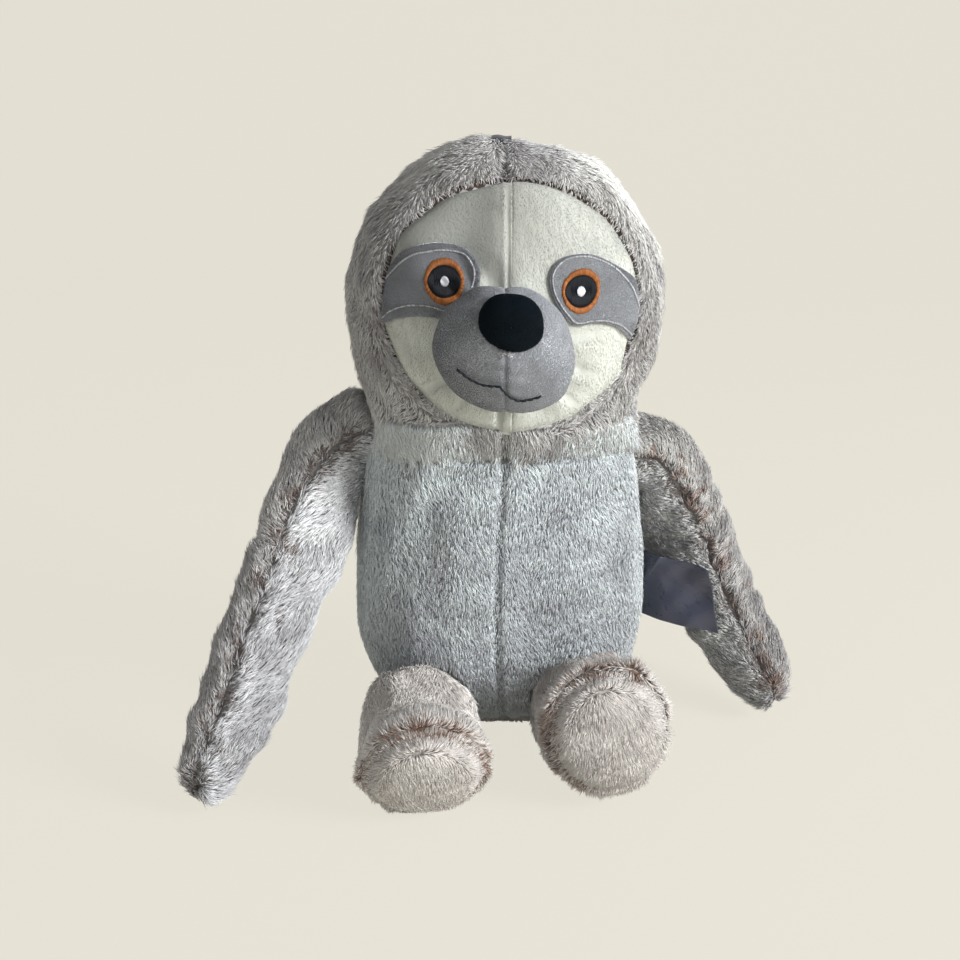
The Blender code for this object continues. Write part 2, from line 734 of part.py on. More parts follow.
def make_mouth():
    line = bpy.data.curves.new("mouth_thread", "CURVE")
    line.dimensions = "3D"
    line.bevel_depth = mouth_thread_radius
    line.bevel_resolution = 1
    line.use_fill_caps = True
    line.resolution_u = 1
    spline = line.splines.new("POLY")
    spline.points.add(mouth_points - 1)
    for index in range(mouth_points):
        place = index / (mouth_points - 1) * (len(mouth_shares) - 1)
        steps = range(len(mouth_shares))
        across, up = (smooth_value(steps, [point[axis] for point in mouth_shares], place)
                      for axis in range(2))
        point, direction = muzzle_front(muzzle_centre[0] + across * muzzle_half_width,
                                        muzzle_centre[1] + muzzle_rise + up * muzzle_half_height)
        spline.points[index].co = (*(point + direction * (mouth_thread_radius + 2 * gap)), 1)
    thread = bpy.data.objects.new("mouth_thread", line)
    line.materials.append(own_material("mouth_thread", "black_thread"))
    parts.objects.link(thread)


def make_arm(side):
    form = arm_form(side)
    rows = arm_length_shares
    columns = arm_columns // 2
    out = sides[side]
    side_angle = 0 if side == "left" else pi
    near = abs(body_form(side_angle, shoulder_place[1] / body_height).x) + arm_clearance
    beside = add_cutter("beside_body_" + side, box_mesh(
        "beside_body_" + side,
        (min(0, out * near), -body_front * 3, -cut_overrun),
        (max(0, out * near), body_back * 3, head_top)))
    for name, start in (("arm_outer_" + side, -pi / 2), ("arm_inner_" + side, pi / 2)):
        mesh = cloth_from_form(name, form, fur_thickness, rows, (start, start + pi), columns,
                               closed_ends=(True, True))
        panel = add_part(name, mesh, "taupe_fur" if "outer" in name else "light_fur")
        cut(panel, beside)
        if name.startswith("arm_inner"):
            cut(panel, armhole_cutters[side])
        cut(panel, floor_cutter)
    root_end = abs(form(pi, arm_root_share).x) + fur_thickness + arm_root_reach
    filling = add_part("arm_filling_" + side, solid_from_form(
        "arm_filling_" + side, form, fur_thickness + gap, rows[1:-1], arm_columns), "stuffing")
    cut(filling, beside)
    cut(filling, add_cutter("arm_root_" + side, crosswise_cylinder(
        "arm_root_" + side, armhole_radius - gap, out * (armhole_floor + gap),
        out * root_end, shoulder_place)), "UNION")


def make_leg(side):
    form = leg_form(side)
    root_rows = [step / (root_steps + len(leg_length_shares) - 1)
                 for step in range(root_steps + len(leg_length_shares))]
    columns = leg_columns // 2
    for name, start in (("leg_top_" + side, 0), ("leg_under_" + side, pi)):
        mesh = cloth_from_form(name, form, fur_thickness, root_rows, (start, start + pi), columns,
                               closed_ends=(True, False))
        cut(add_part(name, mesh, "light_fur"), floor_cutter)
    filling = add_part("leg_filling_" + side, solid_from_form(
        "leg_filling_" + side, form, fur_thickness + gap, root_rows, leg_columns), "stuffing")
    foot_radius = leg_half_width * leg_size_shares[-1]
    cut(filling, add_cutter("sole_room_" + side, facing_disc(
        "sole_room_" + side, side, ((-sole_thickness - gap, foot_radius), (cut_overrun, foot_radius)))))
    radius = foot_radius - fur_thickness - 2 * gap
    sole = add_part("sole_" + side, facing_disc("sole_" + side, side, (
        (-sole_thickness, radius), (0, radius), (sole_dome * dome_shares[0], radius * dome_shares[1]),
        (sole_dome, radius * dome_shares[2]))), "light_fur")
    cut(sole, floor_cutter)


def facing_disc(name, side, sections):
    """A round solid across the foot's end, from distances past the end and radii there."""
    hip, forward, sideways, _ = leg_frame(side)
    centre = hip + forward * leg_length * leg_length_shares[-1]
    facing = Matrix.Rotation(leg_pitches[side] - sole_pitches[side], 3, sideways) @ forward
    up = facing.cross(sideways)
    rings = []
    for distance, radius in sections:
        rings.append([])
        for step in range(leg_columns):
            angle = 2 * pi * step / leg_columns
            rings[-1].append(centre + facing * distance
                             + (sideways * cos(angle) + up * sin(angle)) * radius)
    return solid_from_rings(name, rings)


def make_trim():
    seam = body_form(0, label_height_place / body_height)
    label = add_part("care_label", box_mesh(
        "care_label", (gap, -label_thickness / 2, -label_height / 2),
        (label_width, label_thickness / 2, label_height / 2)), "navy_satin", smooth=False)
    label.location = seam + Vector((gap, 0, 0))
    label.rotation_euler.z = label_swing
    crown = head_form(0, 1).z + gap
    ribbon = add_part("crown_ribbon", box_mesh(
        "crown_ribbon", (-crown_ribbon_width / 2, 0, 0),
        (crown_ribbon_width / 2, crown_ribbon_length, crown_ribbon_thickness)), "navy_satin", smooth=False)
    ribbon.location = (nose_centre[0] - crown_ribbon_width / 2, -crown_ribbon_length / 4, crown)


def make_pivot(name, place, pieces):
    """An empty on a joint's axis, which carries the pieces that move with it."""
    pivot = bpy.data.objects.new(name, None)
    pivot.location = place
    pivot.empty_display_size = armhole_radius
    parts.objects.link(pivot)
    for piece in pieces:
        piece.parent = pivot
        piece.matrix_parent_inverse = Matrix.Translation(-Vector(place))


def pieces_named(*beginnings):
    return [thing for thing in parts.objects if thing.name.startswith(beginnings)]


parts, cutters = start_scene()
floor_cutter = add_cutter("floor", box_mesh("floor", (-head_top, -head_top, -head_top),
                                            (head_top, head_top, 0)))
armhole_cutters = {}
hip_cutters = {}
for side, out in sides.items():
    armhole_cutters[side] = add_cutter("armhole_" + side, crosswise_cylinder(
        "armhole_" + side, armhole_radius, out * armhole_floor, out * (armhole_floor + 2 * cut_overrun),
        shoulder_place))
    hip = leg_frame(side)[0]
    hip_cutters[side] = add_cutter("hip_" + side, ball_mesh(
        "hip_" + side, hip, [room_radius(leg_half_width * leg_root_share)] * 3, ball_segments,
        ball_segments // 2))

make_body()
make_neck()
make_head()
for side in sides:
    make_arm(side)
    make_leg(side)
make_trim()

make_pivot("neck_pivot", (0, 0, nod_height),
           pieces_named("head_", "hood_", "face_", "muzzle_", "nose", "mouth_", "eye_", "patch_", "crown_"))
for side, out in sides.items():
    make_pivot(side + "_shoulder_pivot", (out * armhole_floor, *shoulder_place),
               pieces_named("arm_outer_" + side, "arm_inner_" + side, "arm_filling_" + side))
    make_pivot(side + "_hip_pivot", leg_frame(side)[0],
               pieces_named("leg_top_" + side, "leg_under_" + side, "leg_filling_" + side, "sole_" + side))
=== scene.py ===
import bpy
import numpy as np
from math import cos, pi, radians, sin, sqrt
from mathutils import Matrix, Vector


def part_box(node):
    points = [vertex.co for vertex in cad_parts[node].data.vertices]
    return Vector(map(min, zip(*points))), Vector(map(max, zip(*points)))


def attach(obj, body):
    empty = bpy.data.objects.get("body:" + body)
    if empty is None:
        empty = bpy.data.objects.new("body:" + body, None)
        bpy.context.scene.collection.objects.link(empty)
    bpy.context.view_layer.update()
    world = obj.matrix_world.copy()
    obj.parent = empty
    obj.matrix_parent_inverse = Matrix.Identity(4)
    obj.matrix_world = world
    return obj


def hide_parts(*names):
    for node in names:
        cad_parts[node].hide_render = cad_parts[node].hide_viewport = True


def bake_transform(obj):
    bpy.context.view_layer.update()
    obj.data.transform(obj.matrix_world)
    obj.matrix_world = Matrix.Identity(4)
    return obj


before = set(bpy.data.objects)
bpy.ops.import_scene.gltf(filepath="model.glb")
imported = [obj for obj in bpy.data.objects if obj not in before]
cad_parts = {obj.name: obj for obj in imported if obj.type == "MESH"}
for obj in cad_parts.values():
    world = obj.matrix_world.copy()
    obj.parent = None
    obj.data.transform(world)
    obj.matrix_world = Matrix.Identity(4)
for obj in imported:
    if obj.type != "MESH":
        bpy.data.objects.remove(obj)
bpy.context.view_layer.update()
print("frame loaded")

# The toy sits with its face towards -Y. Left and right are its own, so its left is at +X.
sides = {"right": -1, "left": 1}
halves = (("left", 1, -pi / 2), ("right", -1, pi / 2))  # and the angle from which each half runs
lowest = 0.0004                 # nothing reaches below the surface that it sits on
bakeMap = "OFBake"


# Shader maths: a wire is one node's output, and sums on it add nodes
class Wire:
    def __init__(self, board, socket):
        self.board, self.socket = board, socket

    def other(self, out):
        return Wire(self.board, self.socket.node.outputs[out])

    def calc(self, operation, *terms):
        return self.board.node("ShaderNodeMath", {"operation": operation}, dict(enumerate(terms)))

    def __add__(self, other):
        return self.calc("ADD", self, other)

    def __mul__(self, other):
        return self.calc("MULTIPLY", self, other)

    def __sub__(self, other):
        return self.calc("SUBTRACT", self, other)

    def __rsub__(self, other):
        return self.calc("SUBTRACT", other, self)

    __radd__, __rmul__ = __add__, __mul__


class Board:
    def __init__(self, owner):
        owner.use_nodes = True
        self.owner, self.tree = owner, owner.node_tree
        self.tree.nodes.clear()

    def node(self, kind, settings=None, values=None, out=0):
        made = self.tree.nodes.new(kind)
        for key, value in (settings or {}).items():
            setattr(made, key, value)
        for key, value in (values or {}).items():
            if isinstance(value, Wire):
                self.tree.links.new(value.socket, made.inputs[key])
            else:
                made.inputs[key].default_value = value
        return Wire(self, made.outputs[out])

    def blend(self, share, first, second, how="MIX"):
        colours = [item if isinstance(item, Wire) else (*item, 1) for item in (first, second)]
        return self.node("ShaderNodeMix", {"data_type": "RGBA", "blend_type": how},
                         {0: share, 6: colours[0], 7: colours[1]}, out=2)

    def rise(self, value, low, high):
        return self.node("ShaderNodeMapRange", {"interpolation_type": "SMOOTHSTEP"},
                         {0: value, 1: low, 2: high})

    def tone(self):
        return self.node("ShaderNodeSeparateXYZ", {}, {0: self.spot()})

    def spot(self):
        return self.node("ShaderNodeUVMap", {"uv_map": bakeMap})

    def surface(self, **values):
        return self.finish(self.node("ShaderNodeBsdfPrincipled", {}, {
            key.replace("_", " "): value for key, value in values.items()}))

    def finish(self, shader, kind="ShaderNodeOutputMaterial"):
        output = self.tree.nodes.new(kind)
        self.tree.links.new(shader.socket, output.inputs[0])
        return self.owner


# Pile colours run along each hair: across the bake map is the hair's tone, up it the place on the
# hair, and the map's upper half holds the brown hairs that show where the cloth is parted
def pileMaterial(name, root, middle, tip, parting, shade=((0.70, 0.69, 0.72), (1.24, 1.25, 1.22)),
                 rootShare=0.45, frostFrom=0.25, roughness=0.58, sheen=0.35, shine=0.35):
    board = Board(bpy.data.materials.new(name))
    tone = board.tone()
    up = tone.other(1) * 2
    along = up.calc("FRACT", up)
    parted = up.calc("GREATER_THAN", up, 1.0)
    colour = board.blend(board.rise(along, 0.0, rootShare), root, middle)
    frost = board.rise(along, 0.45, 1.0) * board.rise(tone, frostFrom, 1.0)
    colour = board.blend(frost, colour, tip)
    brown = parted * (1 - board.rise(along, 0.25, 1.0) * 0.75)
    colour = board.blend(brown, colour, parting)
    colour = board.blend(1.0, colour, board.blend(tone, *shade), "MULTIPLY")
    return board.surface(Base_Color=colour, Roughness=roughness, Sheen_Weight=sheen,
                         Sheen_Roughness=0.4, Specular_IOR_Level=shine)


# Smooth tables, forms and noise, all on arrays
def readTable(table, place):
    shares, values = np.array(table, float)
    last = len(shares) - 1
    before = np.maximum(np.arange(last + 1) - 1, 0)
    after = np.minimum(np.arange(last + 1) + 1, last)
    slopes = (values[after] - values[before]) / (shares[after] - shares[before])
    place = np.clip(place, shares[0], shares[-1])
    index = np.clip(np.searchsorted(shares, place, side="left") - 1, 0, last - 1)
    span = shares[index + 1] - shares[index]
    local = (place - shares[index]) / span
    square, cube = local ** 2, local ** 3
    return ((2 * cube - 3 * square + 1) * values[index]
            + (cube - 2 * square + local) * span * slopes[index]
            + (3 * square - 2 * cube) * values[index + 1]
            + (cube - square) * span * slopes[index + 1])


def bump(distance, width):
    return np.exp(-(distance / width) ** 2)


def ease(value, low, high):
    share = np.clip((value - low) / (high - low), 0, 1)
    return share * share * (3 - 2 * share)


def superRadius(angle, across, along, power):
    return ((np.abs(np.cos(angle)) / across) ** power
            + (np.abs(np.sin(angle)) / along) ** power) ** (-1 / power)


# The radius of a closed outline, read from its values at even steps
def outlineRadius(outline, angle):
    return readTable((range(-1, len(outline) + 2), (outline[-1], *outline, *outline[:2])),
                     (angle % (2 * pi)) / (2 * pi) * len(outline))


def pinch(place):               # hood, neck and body draw in where the neck folds
    return 0.0048 * bump(place[..., 2] - 0.203, 0.030)


def vector(x, y, z):
    return np.stack(np.broadcast_arrays(x, y, z), -1)


def unit(vectors):
    return vectors / np.maximum(np.linalg.norm(vectors, axis=-1, keepdims=True), 1e-12)


def dot(first, second):
    return (first * second).sum(-1)


def onRing(first, second, angle):
    return first * np.cos(angle)[..., None] + second * np.sin(angle)[..., None]


def runLengths(points):
    return np.concatenate([[0], np.cumsum(np.linalg.norm(np.diff(points, axis=0), axis=1))])


def evenGrid(rows, columns):
    v, u = np.meshgrid(np.linspace(0, 1, rows), np.linspace(0, 1, columns), indexing="ij")
    return u, v


def waves(points, size, seed):
    draw = np.random.default_rng(seed)
    turns = unit(draw.normal(size=(9, 3))) * (2 * pi / size) * draw.uniform(0.6, 1.5, (9, 1))
    phases = draw.uniform(0, 2 * pi, 9)
    return np.sin(points @ turns.T + phases).sum(-1) / 3.2


def waveVectors(points, size, seed):
    return np.stack([waves(points, size, seed + step) for step in range(3)], -1)


# The forms' sizes are metres; a table holds shares along a form and the value at each
body = dict(
    height=0.183, power=2.25, sway=-0.004,
    heights=(0.0, 0.035, 0.09, 0.17, 0.27, 0.40, 0.55, 0.70, 0.84, 0.94, 1.0),
    # how far it reaches to its sides, forwards and back, and the shares of that at the heights
    reaches=((0.0850, (0.52, 0.63, 0.755, 0.865, 0.955, 1.0, 1.0, 0.985, 0.97, 0.96, 0.955)),
             (0.0660, (0.36, 0.50, 0.655, 0.79, 0.90, 0.985, 1.0, 0.97, 0.92, 0.89, 0.88)),
             (0.0660, (0.62, 0.74, 0.85, 0.93, 0.98, 1.0, 0.985, 0.95, 0.90, 0.87, 0.86))),
)
head = dict(bottom=0.198, middle=0.262, top=0.347, halfWidth=0.0878, front=0.0740, back=0.0740,
            power=2.2, lowerReach=0.150, fullness=0.88)
face = dict(
    centre=(0.0037, 0.2668), halfWidth=0.0712, halfHeight=0.0668, power=2.1, inset=0.0030, seam=0.0015,
    creases=((-2.62, 0.085, 0.0034), (-2.25, 0.08, 0.0022), (-1.66, 0.06, 0.0026),
             (-0.35, 0.10, 0.0018), (-0.72, 0.08, 0.0014), (0.10, 0.10, 0.0012),
             (2.35, 0.09, 0.0020), (2.05, 0.08, 0.0016)),
    dent=(-0.0225, 0.3050, 0.0046),
)
muzzle = dict(
    centre=(0.0003, 0.2482), halfWidth=0.0345, halfHeight=0.0305, reach=0.0350, rise=0.0050,
    outline=(0.0345, 0.0333, 0.0325, 0.0324, 0.0346, 0.0365, 0.0363, 0.0342, 0.0317, 0.0317, 0.0347,
             0.0371),
    root=0.0560, sizes=((0.0, 0.28, 0.50, 0.68, 0.82, 0.91, 0.97, 1.0),
                        (0.66, 0.78, 0.97, 0.97, 0.83, 0.63, 0.38, 0.0)),
)
arm = dict(
    halfWidth=0.0250, halfDepth=0.0205,
    lines={"right": (
        (-0.0690, 0.000, 0.1820), (-0.0820, 0.000, 0.1850), (-0.0930, -0.001, 0.1800),
        (-0.1020, -0.005, 0.1690), (-0.1095, -0.015, 0.1515), (-0.1190, -0.040, 0.1200),
        (-0.1300, -0.064, 0.0930), (-0.1440, -0.088, 0.0550), (-0.1620, -0.106, 0.0170),
        (-0.1680, -0.111, 0.0085)), "left": (
        (0.0690, 0.001, 0.1700), (0.0800, 0.002, 0.1715), (0.0890, 0.004, 0.1660),
        (0.0965, 0.008, 0.1550), (0.1030, 0.014, 0.1400), (0.1125, 0.024, 0.1140),
        (0.1225, 0.025, 0.0880), (0.1405, 0.018, 0.0530), (0.1610, -0.001, 0.0190),
        (0.1665, -0.008, 0.0105))},
    sizes=((0.0, 0.04, 0.10, 0.16, 0.25, 0.38, 0.52, 0.66, 0.78, 0.87, 0.935, 0.98, 1.0),
           (0.96, 0.94, 0.92, 0.94, 0.98, 1.0, 1.0, 0.98, 0.92, 0.82, 0.66, 0.40, 0.0)),
    twists={"right": 0.42, "left": 0.26}, innerSwell={"right": 0.16, "left": 0.36},
    # painted light and shade along each arm panel: how strongly, and the share down the arm where it
    # turns
    paintedLightTilts={"outer_right": (0.9, 0.54), "inner_right": (1.25, 0.50), "outer_left": (1.0, 0.36),
           "inner_left": (0.0, 0.5)},
    spots={"outer_right": (0.30, 0.52), "inner_right": (0.12, 0.43),
           "outer_left": (0.22, 0.30, 0.52, 0.95), "inner_left": (0.93,)},
)
leg = dict(
    across=0.0480, up=0.0360, alongs={"right": -0.0760, "left": -0.0560}, length=0.0500,
    halfWidth=0.0365, rootShare=0.94,
    pitches={"right": radians(-2), "left": radians(9)},
    yaws={"right": radians(8), "left": radians(10)},
    solePitches={"right": radians(-22), "left": radians(22)}, drops={"right": 0.0030, "left": -0.0022},
    sizes=((0.0, 0.20, 0.40, 0.58, 0.74, 0.87, 0.96), (0.94, 0.93, 0.93, 0.96, 0.98, 0.95, 0.82)),
    browns={"right": ((1.55, 0.80, 1.0), (0.15, 0.42, 0.9), (3.0, 0.35, 0.5)),
            "left": ((3.05, 0.50, 0.9), (3.95, 0.40, 0.8), (1.75, 0.35, 1.0), (1.05, 0.14, 0.6))},
)


def bodyPoint(angle, share):
    width, front, back = (reach * readTable((body["heights"], shares), share)
                          for reach, shares in body["reaches"])
    radius = superRadius(angle, width, np.where(np.sin(angle) < 0, front, back), body["power"])
    return vector(body["sway"] * np.sin(pi * share) + radius * np.cos(angle),
                  radius * np.sin(angle), body["height"] * share)


def headPoint(angle, share):
    low = -np.arcsin((head["middle"] - head["bottom"]) / head["lowerReach"])
    turn = low + (pi / 2 - 0.002 - low) * share
    reach = np.where(turn > 0, head["top"] - head["middle"], head["lowerReach"])
    depth = np.where(np.sin(angle) < 0, head["front"], head["back"])
    radius = np.cos(turn) ** head["fullness"] * superRadius(angle, head["halfWidth"], depth,
                                                            head["power"])
    return vector(radius * np.cos(angle), radius * np.sin(angle), head["middle"] + reach * np.sin(turn))


def neckPoint(angle, share):
    foot, rim = bodyPoint(angle, np.ones_like(angle)), headPoint(angle, np.zeros_like(angle))
    return foot + (rim - foot) * share[..., None]


def muzzlePoint(angle, share):
    radius = outlineRadius(muzzle["outline"], angle) * readTable(muzzle["sizes"], share)
    reach = head["front"] - face["inset"] + muzzle["reach"] - muzzle["root"]
    return vector(muzzle["centre"][0] + radius * np.cos(angle), -muzzle["root"] - reach * share,
                  muzzle["centre"][1] + muzzle["rise"] * share ** 2 + radius * np.sin(angle))


def armPoint(side):
    points = np.array(arm["lines"][side])
    lengths = runLengths(points)
    lengths /= lengths[-1]

    def line(share):
        return vector(*(readTable((lengths, column), share) for column in points.T))

    def form(angle, share):
        reach = 0.001 + 0.12 * (1 - ease(share, 0.10, 0.40))
        ahead = unit(line(np.minimum(share + reach, 1)) - line(np.maximum(share - reach, 0)))
        front = np.array([0.0, -1.0, 0.0])
        front = unit(front - ahead * dot(ahead, front)[..., None])
        outward = np.cross(front, ahead) * sides[side]
        size = readTable(arm["sizes"], share)
        turn = angle - arm["twists"][side] * ease(share, 0.08, 0.42)
        swell = np.where(np.cos(turn) < 0, arm["innerSwell"][side] * bump(share - 0.30, 0.15), 0)
        across = arm["halfWidth"] * size * np.cos(turn) * (1 + swell)
        return (line(share) + outward * across[..., None]
                + front * (arm["halfDepth"] * size * np.sin(turn))[..., None])
    return form


def legFrame(side):
    hip = np.array([sides[side] * leg["across"], leg["alongs"][side], leg["up"]])
    yaw, pitch = leg["yaws"][side], leg["pitches"][side]
    forward = np.array([sin(yaw) * cos(pitch), -cos(yaw) * cos(pitch), sin(pitch)])
    sideways = np.array([cos(yaw), sin(yaw), 0])
    return hip, forward, sideways, np.cross(forward, sideways)


def legPoint(side):
    hip, forward, sideways, up = legFrame(side)
    lean = leg["solePitches"][side] - leg["pitches"][side]

    def form(angle, share):
        share = np.clip(share, 0, 1)
        along = share * leg["sizes"][0][-1]
        size = leg["halfWidth"] * readTable(leg["sizes"], along)
        ringUp = onRing(up, -forward, lean * share ** 2)
        return (hip + forward * (leg["length"] * along)[..., None]
                - up * (leg["drops"][side] * share ** 2)[..., None]
                + onRing(sideways, ringUp, angle) * size[..., None])
    return form


# A panel is the part of a form between two angles and two shares, with its sewn relief
class Panel:
    def __init__(self, form, first, span=pi, shares=(0.0, 1.0), turn=1, relief=None):
        self.form, self.first, self.span = form, first, span
        self.shares, self.turn, self.relief = shares, turn, relief

    def plain(self, u, v):
        low, high = self.shares
        return self.form(self.first + self.span * u, low + (high - low) * v)

    def slopes(self, u, v, place=None):
        place, step = place or self.plain, 1e-3
        lowU, highU = np.clip(u - step, 0, 1), np.clip(u + step, 0, 1)
        lowV, highV = np.clip(v - step, 0, 1), np.clip(v + step, 0, 1)
        return ((place(highU, v) - place(lowU, v)) / (highU - lowU)[..., None],
                (place(u, highV) - place(u, lowV)) / (highV - lowV)[..., None])

    def outward(self, u, v, place):
        return unit(np.cross(*self.slopes(u, np.clip(v, 0.004, 0.996), place))) * self.turn

    def edge(self, u, v):
        return np.minimum(u, 1 - u) * np.linalg.norm(self.slopes(u, v)[0], axis=-1)

    def point(self, u, v):
        place = self.plain(u, v)
        if self.relief:
            lift = self.relief(place, self.edge(u, v), v)
            place = place + self.outward(u, v, self.plain) * lift[..., None]
        return place

    def read(self, u, v):
        return self.point(u, v), self.outward(u, v, self.point), self.edge(u, v)


def scatter(panel, count, draw, cells=80):
    middles = (np.arange(cells) + 0.5) / cells
    u, v = (item.ravel() for item in np.meshgrid(middles, middles))
    total = np.cumsum(np.linalg.norm(np.cross(*panel.slopes(u, v)), axis=-1))
    picks = (np.arange(count) + draw.random(count)) / count * total[-1]
    cell = np.minimum(np.searchsorted(total, picks), len(total) - 1)
    jitter = (draw.random((2, count)) - 0.5) / cells
    return np.clip(u[cell] + jitter[0], 0, 1), np.clip(v[cell] + jitter[1], 0, 1)


def addObject(name, data):
    thing = bpy.data.objects.new(name, data)
    bpy.context.scene.collection.objects.link(thing)
    return thing


# The triangles of one piece, gathered as arrays
class Heap:
    def __init__(self):
        self.points, self.faces, self.marks, self.count = [], [], [], 0

    def add(self, points, faces, marks):
        self.points.append(points.reshape(-1, 3))
        self.faces.append(faces.reshape(-1, 3) + self.count)
        self.marks.append(np.clip(marks.reshape(-1, 2), 0.004, 0.996))
        self.count += self.points[-1].shape[0]

    # Build the piece in place of CAD nodes, which it hides
    def replace(self, name, material, rides, nodes, fill=None):
        points = np.concatenate(self.points)
        points[:, 2] = np.maximum(points[:, 2], lowest)
        faces, marks = np.concatenate(self.faces), np.concatenate(self.marks)
        mesh = bpy.data.meshes.new(name)
        mesh.vertices.add(len(points))
        mesh.vertices.foreach_set("co", points.astype(np.float32).ravel())
        mesh.loops.add(faces.size)
        mesh.loops.foreach_set("vertex_index", faces.astype(np.int32).ravel())
        mesh.polygons.add(len(faces))
        mesh.polygons.foreach_set("loop_start", np.arange(0, faces.size, 3, dtype=np.int32))
        mesh.polygons.foreach_set("use_smooth", np.ones(len(faces), bool))
        mesh.uv_layers.new(name=bakeMap).data.foreach_set(
            "uv", marks[faces.ravel()].astype(np.float32).ravel())
        mesh.materials.append(material)
        mesh.update(calc_edges=True)
        mesh.validate()
        piece = addObject(name, mesh)
        print(name, len(faces), "triangles")
        if rides:
            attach(piece, rides)
        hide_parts(*nodes)
        return piece


# A closed sheet: two grids, the second one facing back, and the strips between their edges
def sheetFaces(rows, columns, turned=False):
    row, column = np.meshgrid(np.arange(rows - 1), np.arange(columns - 1), indexing="ij")
    corner, count = (row * columns + column).ravel(), rows * columns
    grid = np.concatenate([np.stack([corner, corner + 1, corner + columns + 1], -1),
                           np.stack([corner, corner + columns + 1, corner + columns], -1)])
    faces = [grid, grid[:, ::-1] + count]
    index = np.arange(count).reshape(rows, columns)
    for line in (index[0], index[-1][::-1], index[:, 0][::-1], index[:, -1]):
        first, second = line[:-1], line[1:]
        faces += [np.stack([second, first, first + count], -1),
                  np.stack([second, first + count, second + count], -1)]
    faces = np.concatenate(faces)
    return faces[:, ::-1] if turned else faces


# The woven backing under the pile
def addBacking(heap, panel, coat, rows, columns, tone=0.35, mark=0.3, sink=None, brown=None):
    u, v = (item.ravel() for item in evenGrid(rows, columns))
    place, facing, edge = panel.read(u, v)
    if sink:
        place = sink(place, facing)
    sheet = [place - facing * depth for depth in (coat["sunk"], coat["sunk"] + coat["thickness"])]
    parted = brown(place, v) > 0.5 if brown else 0
    deep = 1 - 0.75 * bump(edge, 0.0035)
    tone = tone(place) if callable(tone) else tone + 0.12 * waves(place, 0.01, 5)
    marks = np.stack([tone, (mark * deep + parted) / 2], -1)
    heap.add(np.concatenate(sheet), sheetFaces(rows, columns, panel.turn < 0),
             np.concatenate([marks, marks]))


# Hairs: closed three-sided spindles, bent once, that lie along the flow. A groom gives, for each hair,
# its flow, its share of the length, its extra rise, its chance to be one of the brown hairs of a
# parting, and a shift of its tone.
hairFaces = np.array([(0, 1, 2), (0, 2, 3), (0, 3, 1), (2, 1, 4), (3, 2, 4), (1, 3, 4)])


def addPile(heap, panel, coat, seed, groom, keep=None):
    draw = np.random.default_rng(seed)
    u, v = scatter(panel, coat["count"], draw)
    place, facing, edge = panel.read(u, v)
    if keep:
        chosen = keep(place, v)
        u, v, place, facing, edge = (item[chosen] for item in (u, v, place, facing, edge))
    count = len(u)
    flow, share, rise, chance, shift = groom(panel, place, edge, u, v)
    flow = flow + np.cross(facing, flow) * (coat["swirl"] * waves(place, 0.030, seed + 9))[:, None]
    tone = (0.50 + shift + coat["patchy"] * (waves(place, 0.045, seed + 2) + waves(place, 0.014, 77))
            + coat["strands"] * waves(place, coat["clumpSize"], 71)
            + draw.normal(0, coat["speckle"], count))
    length = (coat["length"] * draw.uniform(0.7, 1.15, count) * share)[:, None]
    parted = (draw.random(count) < chance).astype(float)

    flow = unit(flow - facing * dot(flow, facing)[:, None])
    flow = unit(flow + np.cross(facing, flow) * draw.normal(0, coat["spread"], count)[:, None])
    across = np.cross(facing, flow)
    arch = coat["arch"]
    rise = coat["lie"] + rise + draw.normal(0, 0.09, count) * arch
    roots = place - facing * coat["depth"]
    pull = waveVectors(roots, coat["clumpSize"], 71) * coat["clump"]
    pull -= facing * dot(pull, facing)[:, None]
    bend = roots + onRing(flow, facing, rise + 0.40 * arch) * (0.42 * length) + pull * 0.4
    tip = bend + onRing(flow, facing, rise - 0.25 * arch) * (0.58 * length) + pull * 0.6
    half = (coat["width"] * draw.uniform(0.7, 1.3, count) / 2)[:, None]
    points = np.stack([roots, bend + across * half, bend - across * half,
                       bend + facing * half * 0.8 * arch, tip], 1)
    along, aside = np.array([0.02, 0.42, 0.42, 0.42, 0.98]), np.array([0, -0.012, 0.012, 0, 0])
    marks = np.stack([np.clip(tone, 0.02, 0.98)[:, None] + aside, (along + parted[:, None]) / 2], -1)
    heap.add(points, hairFaces + (np.arange(count) * 5)[:, None, None], marks)


# A piece of cloth made of one or more panels, each listed under the seed of its pile
def makeCloth(name, material, rides, nodes, fill, panels, coat, groom, rows, columns, keep=None,
              **backing):
    heap = Heap()
    for seed, panel in panels.items():
        addBacking(heap, panel, coat, rows, columns, **backing)
        addPile(heap, panel, coat, seed, groom, keep)
    return heap.replace(name, material, rides, nodes, fill)


# Fur of the hood, body, arms and legs, and the short plush of the face
longPile = dict(
    count=24000, length=0.0082, width=0.00056, depth=0.0036, lie=0.30, spread=0.14, swirl=0.30,
    speckle=0.13, clump=0.0010, clumpSize=0.0044, patchy=0.13, strands=0.17, arch=1.0,
    sunk=0.0036, thickness=0.0012,
)
shortPile = dict(
    count=17000, length=0.0017, width=0.00034, depth=0.0004, lie=0.40, spread=0.3, swirl=0.5,
    speckle=0.12, clump=0.00006, clumpSize=0.0030, patchy=0.10, strands=0.08, arch=1.0,
    sunk=0.0003, thickness=0.0010,
)
hoodFur = pileMaterial("hood_fur", (0.25, 0.225, 0.215), (0.535, 0.53, 0.53), (0.92, 0.925, 0.935),
                       (0.080, 0.050, 0.040))
bodyFur = pileMaterial(
    "body_front_fur", (0.42, 0.445, 0.465), (0.645, 0.695, 0.725), (0.90, 0.94, 0.96),
    (0.24, 0.24, 0.25), ((0.76, 0.735, 0.77), (1.17, 1.195, 1.18)))
backFur = pileMaterial("body_back_fur", (0.25, 0.225, 0.215), (0.52, 0.51, 0.51), (0.88, 0.88, 0.89),
                       (0.090, 0.060, 0.048))
